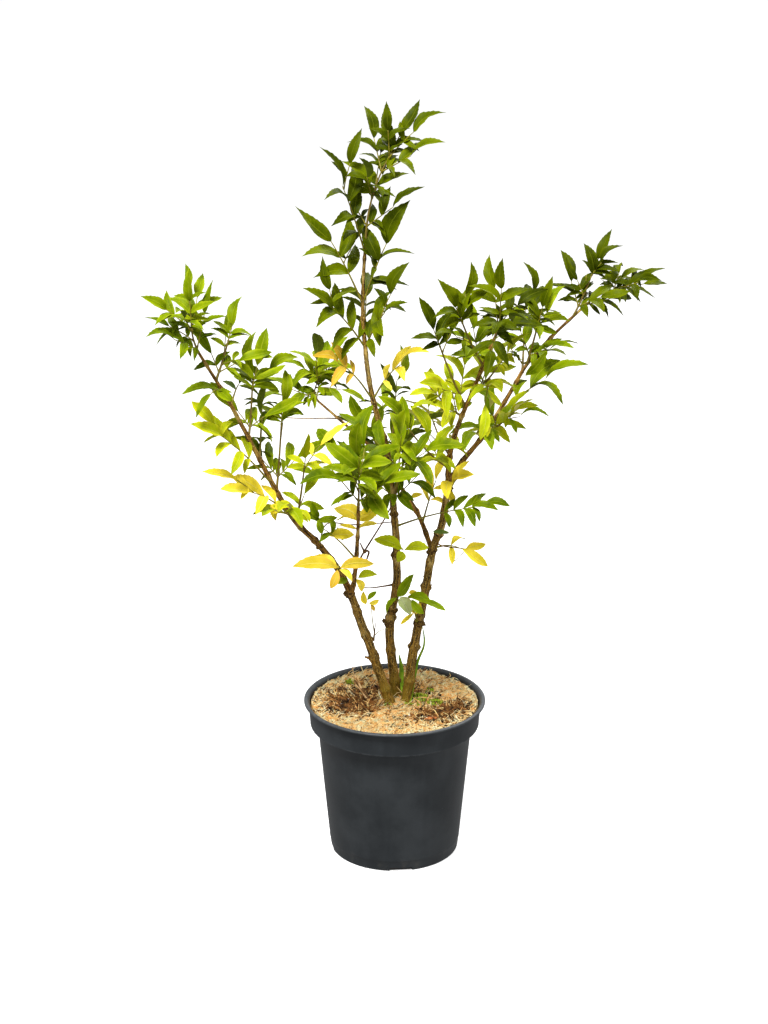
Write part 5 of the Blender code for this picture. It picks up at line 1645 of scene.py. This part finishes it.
# %% Single leaflets
Single = namedtuple("Single", "tint foot tip look width shade", defaults=(None,))
SINGLES = (
    Single("ochre", (-0.076, -0.092, 0.461), (-0.139, -0.104, 0.47), (-0.1, -0.7, 0.8), 0.34),
    Single("yellow", (-0.079, -0.09, 0.462), (-0.108, -0.082, 0.48), (0.0, -0.8, 0.6), 0.42),
    Single("ochre", (-0.074, -0.092, 0.461), (-0.032, -0.096, 0.479), (0.1, -0.7, 0.8), 0.4),
    Single("ochre", (-0.078, -0.093, 0.459), (-0.089, -0.108, 0.438), (0.1, -0.9, 0.3), 0.46),
    Single("yellow", (-0.075, -0.093, 0.459), (-0.056, -0.104, 0.45), (0.1, -0.8, 0.5), 0.44),
    Single("fresh", (0.01, -0.032, 0.466), (-0.027, -0.03, 0.486), (0.0, -0.8, 0.6), 0.4),
    Single("fresh", (0.008, -0.031, 0.466), (0.0, -0.04, 0.48), (-0.2, -0.9, 0.4), 0.45),
    Single("fresh", (0.013, -0.034, 0.466), (0.047, -0.04, 0.474), (0.1, -0.7, 0.7), 0.42),
    Single("fresh", (0.011, -0.035, 0.464), (0.003, -0.052, 0.456), (0.0, -0.9, 0.3), 0.7),
    Single("fresh", (0.004, 0.001, 0.384), (0.026, -0.01, 0.423), (-0.2, -0.8, 0.6), 0.42, 1),
    Single("fresh", (0.003, 0.001, 0.382), (-0.014, -0.012, 0.366), (-0.2, -0.8, 0.5), 0.36, 1),
    Single("pale", (0.008, -0.002, 0.384), (0.024, -0.02, 0.368), (0.2, -0.9, 0.4), 0.8, 0),
    Single("fresh", (0.018, -0.01, 0.388), (0.053, -0.026, 0.386), (0.0, -0.8, 0.6), 0.36, 1),
    Single("fresh", (0.036, -0.022, 0.388), (0.073, -0.032, 0.38), (0.0, -0.8, 0.6), 0.34),
    Single("fresh", (0.024, -0.016, 0.386), (0.042, -0.03, 0.372), (0.0, -0.9, 0.4), 0.5),
    Single("fresh", (-0.051, -0.02, 0.42), (-0.026, -0.02, 0.43), (0.0, -0.8, 0.6), 0.5),
    Single("yellow", (-0.055, -0.022, 0.419), (-0.045, -0.024, 0.401), (0.1, -0.9, 0.4), 0.56),
    Single("yellow", (-0.044, -0.02, 0.4), (-0.039, -0.022, 0.381), (0.1, -0.9, 0.4), 0.5),
    Single("fresh", (-0.038, -0.02, 0.387), (-0.026, -0.02, 0.401), (-0.2, -0.9, 0.3), 0.42),
    Single("yellow", (-0.036, -0.018, 0.381), (-0.022, -0.018, 0.387), (0.0, -0.9, 0.4), 0.5),
    Single("ochre", (-0.034, -0.018, 0.38), (-0.028, -0.02, 0.37), (0.0, -0.9, 0.4), 0.5),
    Single("spring", (-0.066, -0.026, 0.42), (-0.088, -0.044, 0.424), (0.0, -0.8, 0.6), 0.36),
    Single("yellow", (0.027, 0.004, 0.358), (0.006, -0.002, 0.345), (0.0, -0.9, 0.4), 0.3),
    Single("yellow", (0.028, 0.004, 0.357), (0.018, 0.0, 0.368), (0.0, -0.9, 0.4), 0.45),
    Single("yellow", (0.03, 0.0, 0.358), (0.035, -0.002, 0.377), (0.0, -0.9, 0.4), 0.4),
    Single("yellow", (0.02, -0.006, 0.392), (0.03, -0.01, 0.398), (0.0, -0.9, 0.4), 0.6),
    Single("yellow", (0.1, 0.0, 0.457), (0.126, -0.006, 0.47), (0.0, -0.8, 0.6), 0.42),
    Single("pale", (0.053, 0.004, 0.48), (0.077, -0.002, 0.482), (0.0, -0.8, 0.6), 0.3),
    Single("yellow", (0.023, 0.0, 0.531), (0.038, -0.004, 0.541), (0.0, -0.9, 0.4), 0.5),
    Single("yellow", (-0.051, -0.045, 0.514), (-0.08, -0.05, 0.538), (0.1, -0.9, 0.4), 0.62),
    Single("yellow", (-0.051, -0.046, 0.514), (-0.022, -0.05, 0.54), (-0.1, -0.9, 0.4), 0.62),
    Single("yellow", (-0.056, -0.05, 0.494), (-0.092, -0.056, 0.504), (0.0, -0.9, 0.4), 0.5),
    Single("leaf", (-0.104, -0.062, 0.524), (-0.112, -0.066, 0.548), (-0.1, -0.9, 0.4), 0.5),
    Single("leaf", (-0.104, -0.062, 0.52), (-0.079, -0.07, 0.53), (0.1, -0.8, 0.6), 0.46),
    Single("leaf", (-0.105, -0.062, 0.52), (-0.098, -0.074, 0.504), (0.0, -0.9, 0.4), 0.56),
    Single("spring", (0.18, 0.035, 0.698), (0.206, 0.03, 0.735), (-0.2, -0.9, 0.4), 0.34),
    Single("pale", (-0.072, -0.028, 0.478), (-0.08, -0.032, 0.5), (0.1, -0.9, 0.3), 0.34),
)
SINGLE_SEED = 600
for number, single in enumerate(SINGLES):
    draw = random.Random(SINGLE_SEED + number)
    foot, tip = Vector(single.foot), Vector(single.tip)
    length = (tip - foot).length
    look = Vector(single.look).normalized()
    blade = blade_frame(foot, (tip - foot).normalized(), look, length, length * single.width)
    add_leaflet(single.tint, blade, draw, draw.randrange(2) if single.shade is None else single.shade)
print("single leaflets:", len(SINGLES))

# %% [markdown]
# ## Shoots at the foot
# Green shoots come up by the right stem: a broad one with a short one at its foot, between the stems,
# and a thin one that hugs the bark. They are flat strips like grass, swept from a narrow section of four
# corners. A plane with a Solidify modifier would do too, but its edge would be as thick as its middle.

# %% Green shoots
Shoot = namedtuple("Shoot", "points width look")
SHOOTS = (
    Shoot(((0.012, 0.03, 0.212), (0.009, 0.04, 0.232), (0.01, 0.055, 0.25), (0.006, 0.06, 0.274)),
          0.0082, (0.0, -1.0, 0.15)),
    Shoot(((0.014, 0.02, 0.212), (0.012, 0.022, 0.226), (0.008, 0.03, 0.24)), 0.005, (0.1, -1.0, 0.1)),
    Shoot(((0.022, 0.01, 0.214), (0.032, 0.03, 0.268), (0.042, 0.03, 0.298), (0.041, 0.026, 0.322),
           (0.038, 0.022, 0.333)), 0.005, (0.5, -0.9, 0.1)),
)


STRIP_STEP = 0.004
STRIP_SECTION = ((-1.0, 0.0), (0.0, 0.0006), (1.0, 0.0), (0.0, -0.0002))


def add_strip(pile, points, width, look):
    """Add a thin pointed strip along some points, facing one way."""
    route = smooth_route(points, STRIP_STEP)
    look = Vector(look).normalized()
    last = len(route) - 1
    corners, places = [], []
    for index, point in enumerate(route):
        ahead = (route[min(index + 1, last)] - route[max(index - 1, 0)]).normalized()
        side = across(ahead, look)
        share = min(1.0, 0.25 + 0.75 * index / last)
        half = width / 2 * max(0.06, math.sin(math.pi * share) ** 0.7)
        for way, lift in STRIP_SECTION:
            corners.append(tuple(point + side * (half * way) + look * lift))
            places.append((half * way, lift, index * STRIP_STEP))
    wall, rings = open_tube(len(route), len(STRIP_SECTION))
    foot, tip = rings[0], rings[-1]
    ends = [[foot[0], foot[2], foot[1]], [foot[0], foot[3], foot[2]],
            [tip[0], tip[1], tip[2]], [tip[0], tip[2], tip[3]]]
    pile.add(corners, np.concatenate([wall, ends]), 0, None, places)


shoots = Pile()
for shoot in SHOOTS:
    add_strip(shoots, shoot.points, shoot.width, shoot.look)
SHOOT_GREEN = crumb_material("shoot_green", tone(104, 160, 16), tone(156, 196, 40), 80.0, 0.5)
blades = shoots.build("green_shoots", [SHOOT_GREEN])

# %% [markdown]
# ## One piece for each tint
# All leaflets of a tint become one mesh, which stands for the solids of the masses with that tint. The
# fresh leaflets belong to masses of other tints, so their piece stands for none. One object for each
# leaflet would make many hundreds of objects, and one for the whole crown would be too heavy to export
# and couldn't be recoloured tint by tint.

# %% Build the crown's pieces
SHARP_FOLD = 75
for name, pile in leaf_piles.items():
    below = BELOW[TINTS[f"{name}_a"].below]
    leaves = pile.build(f"leaves_{name}", [ABOVE[f"{name}_a"], ABOVE[f"{name}_b"], below])
    round_off(leaves, SHARP_FOLD)
    masses = [row.name for row in MASSES if row.tint == name]
    if masses:
        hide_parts(*masses)
sticks = twigs.build("twigs", TWIG_SKINS)

# %% [markdown]
# ## Soil
# The soil fills the pot to about a centimetre under the rim. It is nearly flat, a little higher along the
# wall, with low banks. Its body is pulled up like the pot, with many rings across the top that noise can
# push about. A displaced plane would look the same from above, but the pot would be empty below it.

# %% Soil body
SOIL_GAP = 0.0003
SOIL_WALL = BAND_FOOT_RADIUS - WALL - SOIL_GAP
SOIL_EDGE = BAND_FOOT_RADIUS + (BAND_TOP_RADIUS - BAND_FOOT_RADIUS) * 0.8 - WALL - SOIL_GAP
SOIL_TOP_RINGS = 34
SOIL_SIDES = 128
RISE_START = 0.055
RIM_RISE = 0.0046
Bank = namedtuple("Bank", "x y radius rise")
BANKS = (
    Bank(-0.085, 0.045, 0.035, 0.002), Bank(0.01, 0.085, 0.055, 0.003),
    Bank(0.085, 0.02, 0.03, 0.002), Bank(-0.1, -0.02, 0.03, 0.002),
    Bank(-0.055, 0.01, 0.028, -0.004), Bank(0.045, -0.02, 0.03, -0.002),
    Bank(0.06, -0.085, 0.035, 0.002), Bank(0.02, 0.012, 0.022, -0.003),
)


def soil_height(x, y):
    """Return the height of the soil at a place."""
    height = SOIL_TOP + 0.0036 * noise.noise(Vector((x * 42.0, y * 42.0, 3.0)))
    height += 0.0026 * noise.noise(Vector((x * 120.0, y * 120.0, 9.0)))
    share = min(1.0, max(0.0, (math.hypot(x, y) - RISE_START) / (SOIL_EDGE - RISE_START)))
    height += RIM_RISE * share * share * (3.0 - 2.0 * share)
    for bank in BANKS:
        height += bank.rise * math.exp(-((x - bank.x) ** 2 + (y - bank.y) ** 2) / bank.radius ** 2)
    return height


SOIL_RINGS = [
    (BASE_RADIUS - 2 * RIDGE_STEP - WALL - 0.0023, FLOOR + SOIL_GAP),
    (WALL_TOP_RADIUS - WALL - SOIL_GAP, WALL_TOP_HEIGHT - 0.001),
    (SOIL_WALL, BAND_FOOT_HEIGHT + 0.0013), (SOIL_EDGE, SOIL_TOP - 0.003),
]
for ring in range(1, SOIL_TOP_RINGS):
    SOIL_RINGS.append((SOIL_EDGE * (1.0 - ring / SOIL_TOP_RINGS) + 0.0005, SOIL_TOP))
soil = pulled_up("soil_body", SOIL_RINGS, SOIL_SIDES)
for corner in soil.data.vertices:
    if corner.co.z > SOIL_TOP - 0.001:
        corner.co.z = soil_height(corner.co.x, corner.co.y)
round_off(soil, 60)
own_material(soil, SOIL)
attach(soil, "root")
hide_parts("soil")
print("soil faces:", len(soil.data.polygons))

# %% [markdown]
# ## Shredded bark
# The pot is topped with shredded bark: thousands of fibres, straw-coloured and tan, that lie mostly flat,
# all ways over each other, with a few that stand up. Dark ones gather in two patches by the stems. A hair
# system would be quick, but the export drops it. So each fibre is a three-sided sliver of twenty faces,
# laid on the soil by a seed and joined with those of its colour.

# %% Where fibres lie
FIBRE_REACH = SOIL_EDGE - 0.002
Patch = namedtuple("Patch", "x y radius share")
DARK_PATCHES = (
    Patch(-0.062, 0.005, 0.036, 0.95), Patch(0.062, -0.038, 0.034, 0.8), Patch(0.085, -0.02, 0.02, 0.7),
    Patch(-0.08, -0.03, 0.018, 0.5), Patch(0.03, 0.045, 0.02, 0.5), Patch(-0.03, 0.05, 0.02, 0.5),
)


def darkness(x, y):
    """Return how likely a bit at a place is to be dark."""
    share = 0.01 + 0.22 * max(0.0, noise.noise(Vector((x * 55.0, y * 55.0, 1.0))))
    for patch in DARK_PATCHES:
        share += patch.share * math.exp(-((x - patch.x) ** 2 + (y - patch.y) ** 2) / patch.radius ** 2)
    return share


def scattered(draw, radius):
    """Return a seeded place on a round patch, its distance from the middle and its turn."""
    reach, turn = radius * math.sqrt(draw.random()), draw.uniform(0.0, math.tau)
    return reach * math.cos(turn), reach * math.sin(turn), reach, turn


print("darkness in the first patch:", round(darkness(DARK_PATCHES[0].x, DARK_PATCHES[0].y), 2))

# %% Fibres
FIBRES = 13500
STICKS = 900
FIBRE_SEED = 31
SLIVER = ((-0.5, 0.45), (-0.2, 1.0), (0.15, 0.9), (0.5, 0.25))
SLIVER_SIDES = 3
SLIVER_FLATNESS = 0.55


def add_fibre(pile, x, y, turn, length, thickness, lift, rise, curve):
    """Add one fibre of triangular section lying on the soil."""
    ways = np.array([math.cos(turn), math.sin(turn)])
    off = np.array([-ways[1], ways[0]])
    corners = []
    for share, width in SLIVER:
        flat = np.array([x, y]) + ways * length * share + off * curve * length * (share * share - 0.1)
        reach = math.hypot(*flat)
        if reach > FIBRE_REACH:
            flat = flat * (FIBRE_REACH / reach)
        level = soil_height(*flat) + lift + rise * (share + 0.5) * length
        for side in range(SLIVER_SIDES):
            spoke_turn = math.tau * side / SLIVER_SIDES
            place = flat + off * thickness * width * math.cos(spoke_turn)
            height = level + thickness * width * math.sin(spoke_turn) * SLIVER_FLATNESS
            corners.append((*place, height))
    wall, rings = open_tube(len(SLIVER), SLIVER_SIDES)
    pile.add(corners, np.concatenate([wall, [rings[0][::-1], rings[-1]]]))


fibre_piles = {"straw": Pile(), "tan": Pile(), "brown": Pile()}
draw = random.Random(FIBRE_SEED)
for _ in range(FIBRES):
    x, y, reach, _ = scattered(draw, FIBRE_REACH)
    dark = darkness(x, y)
    chance = draw.random()
    tan = 0.46 - 0.34 * (reach / FIBRE_REACH) ** 2
    kind = "brown" if chance < dark else ("tan" if chance < dark + tan else "straw")
    length = draw.uniform(0.004, 0.012) if draw.random() < 0.8 else draw.uniform(0.012, 0.024)
    thickness = draw.uniform(0.0005, 0.0014) if kind == "brown" else draw.uniform(0.0004, 0.001)
    grain = math.pi * noise.noise(Vector((x * 9.0, y * 9.0, 5.0))) * 2.0
    steep = draw.random() < 0.06
    add_fibre(fibre_piles[kind], x, y, grain + draw.gauss(0.0, 1.1), length, thickness,
              draw.uniform(-0.0008, 0.0016), draw.uniform(0.3, 0.8) if steep else draw.gauss(0.0, 0.09),
              draw.uniform(-0.5, 0.5))
for _ in range(STICKS):
    x, y, _, _ = scattered(draw, FIBRE_REACH * 0.95)
    if draw.random() < darkness(x, y) * 1.3:
        add_fibre(fibre_piles["brown"], x, y, draw.uniform(0.0, math.pi), draw.uniform(0.004, 0.013),
                  draw.uniform(0.0014, 0.0036), 0.001, draw.gauss(0.0, 0.22), draw.uniform(-0.1, 0.1))
for name, skin in (("straw", STRAW), ("tan", TAN), ("brown", BROWN)):
    piece = fibre_piles[name].build(f"fibre_{name}", [skin], False)

# %% [markdown]
# ## Bits of bark, moss and perlite
# Between the fibres lie dark chips of bark, a few large rust-red ones, tufts of moss by the stems and
# white grains of perlite. All of them are the lumpy ball again: flat and long for a chip, small and
# heaped for moss. A moss texture would lie flat, but real tufts stand a few millimetres high.

# %% Bits of bark, moss and perlite
BIT_SKINS = [CHIP, RUST, MOSS, PERLITE]
DARK_BIT, RUST_BIT, MOSS_BIT, WHITE_BIT = range(len(BIT_SKINS))
CHIPS, PERLITE_GRAINS = 1500, 46
MOSS_HEIGHT = 0.0036
LARGE_CHIPS = (
    (0.052, -0.062, (0.0016, 0.0042, 0.01), RUST_BIT, 0.4, 0.0016, 0.5, 3.0),
    (-0.012, 0.07, (0.0022, 0.007, 0.013), RUST_BIT, 0.8, 0.002, 0.5, 5.0),
    (-0.004, 0.082, (0.0014, 0.005, 0.01), RUST_BIT, 2.4, 0.0022, 0.5, 7.0),
    (-0.075, 0.045, (0.0016, 0.005, 0.011), DARK_BIT, 0.6, 0.0024, 0.5, 9.0),
)
Tuft = namedtuple("Tuft", "x y radius count")
TUFTS = (Tuft(0.036, 0.028, 0.012, 150), Tuft(0.058, 0.006, 0.011, 110), Tuft(-0.066, 0.07, 0.008, 50),
         Tuft(0.04, 0.008, 0.01, 36), Tuft(0.02, 0.006, 0.007, 22), Tuft(0.05, 0.045, 0.008, 20),
         Tuft(-0.01, -0.002, 0.006, 14))
bits = Pile()


def add_bit(x, y, size, skin, turn, lift, rough, seed):
    """Add one lump on the soil, a little aslant."""
    heading = Vector((math.cos(turn), math.sin(turn), draw.uniform(-0.3, 0.3))).normalized()
    add_ball(bits, Vector((x, y, soil_height(x, y) + lift)), heading, UP, size, skin, rough, seed)


for count in range(CHIPS):
    x, y, _, _ = scattered(draw, FIBRE_REACH * 0.97)
    if draw.random() < darkness(x, y):
        long = draw.uniform(0.0016, 0.0052)
        size = (long * 0.22, long * 0.5, long)
        add_bit(x, y, size, DARK_BIT, draw.uniform(0, math.pi), 0.0004, 0.6, count)
for tuft in TUFTS:
    for count in range(tuft.count):
        x, y, reach, turn = scattered(draw, tuft.radius)
        long = draw.uniform(0.0006, 0.0014)
        lift = 0.0006 + MOSS_HEIGHT * (1.0 - (reach / tuft.radius) ** 2)
        add_bit(tuft.x + x, tuft.y + y, (long, long * 0.8, long), MOSS_BIT, turn, lift, 0.9, count)
for count in range(PERLITE_GRAINS):
    x, y, _, turn = scattered(draw, FIBRE_REACH * 0.9)
    long = draw.uniform(0.0006, 0.0013)
    add_bit(x, y, (long, long, long), WHITE_BIT, turn, 0.0008, 0.6, count)
for chip in LARGE_CHIPS:
    add_bit(*chip)
crumbs = bits.build("soil_bits", BIT_SKINS)
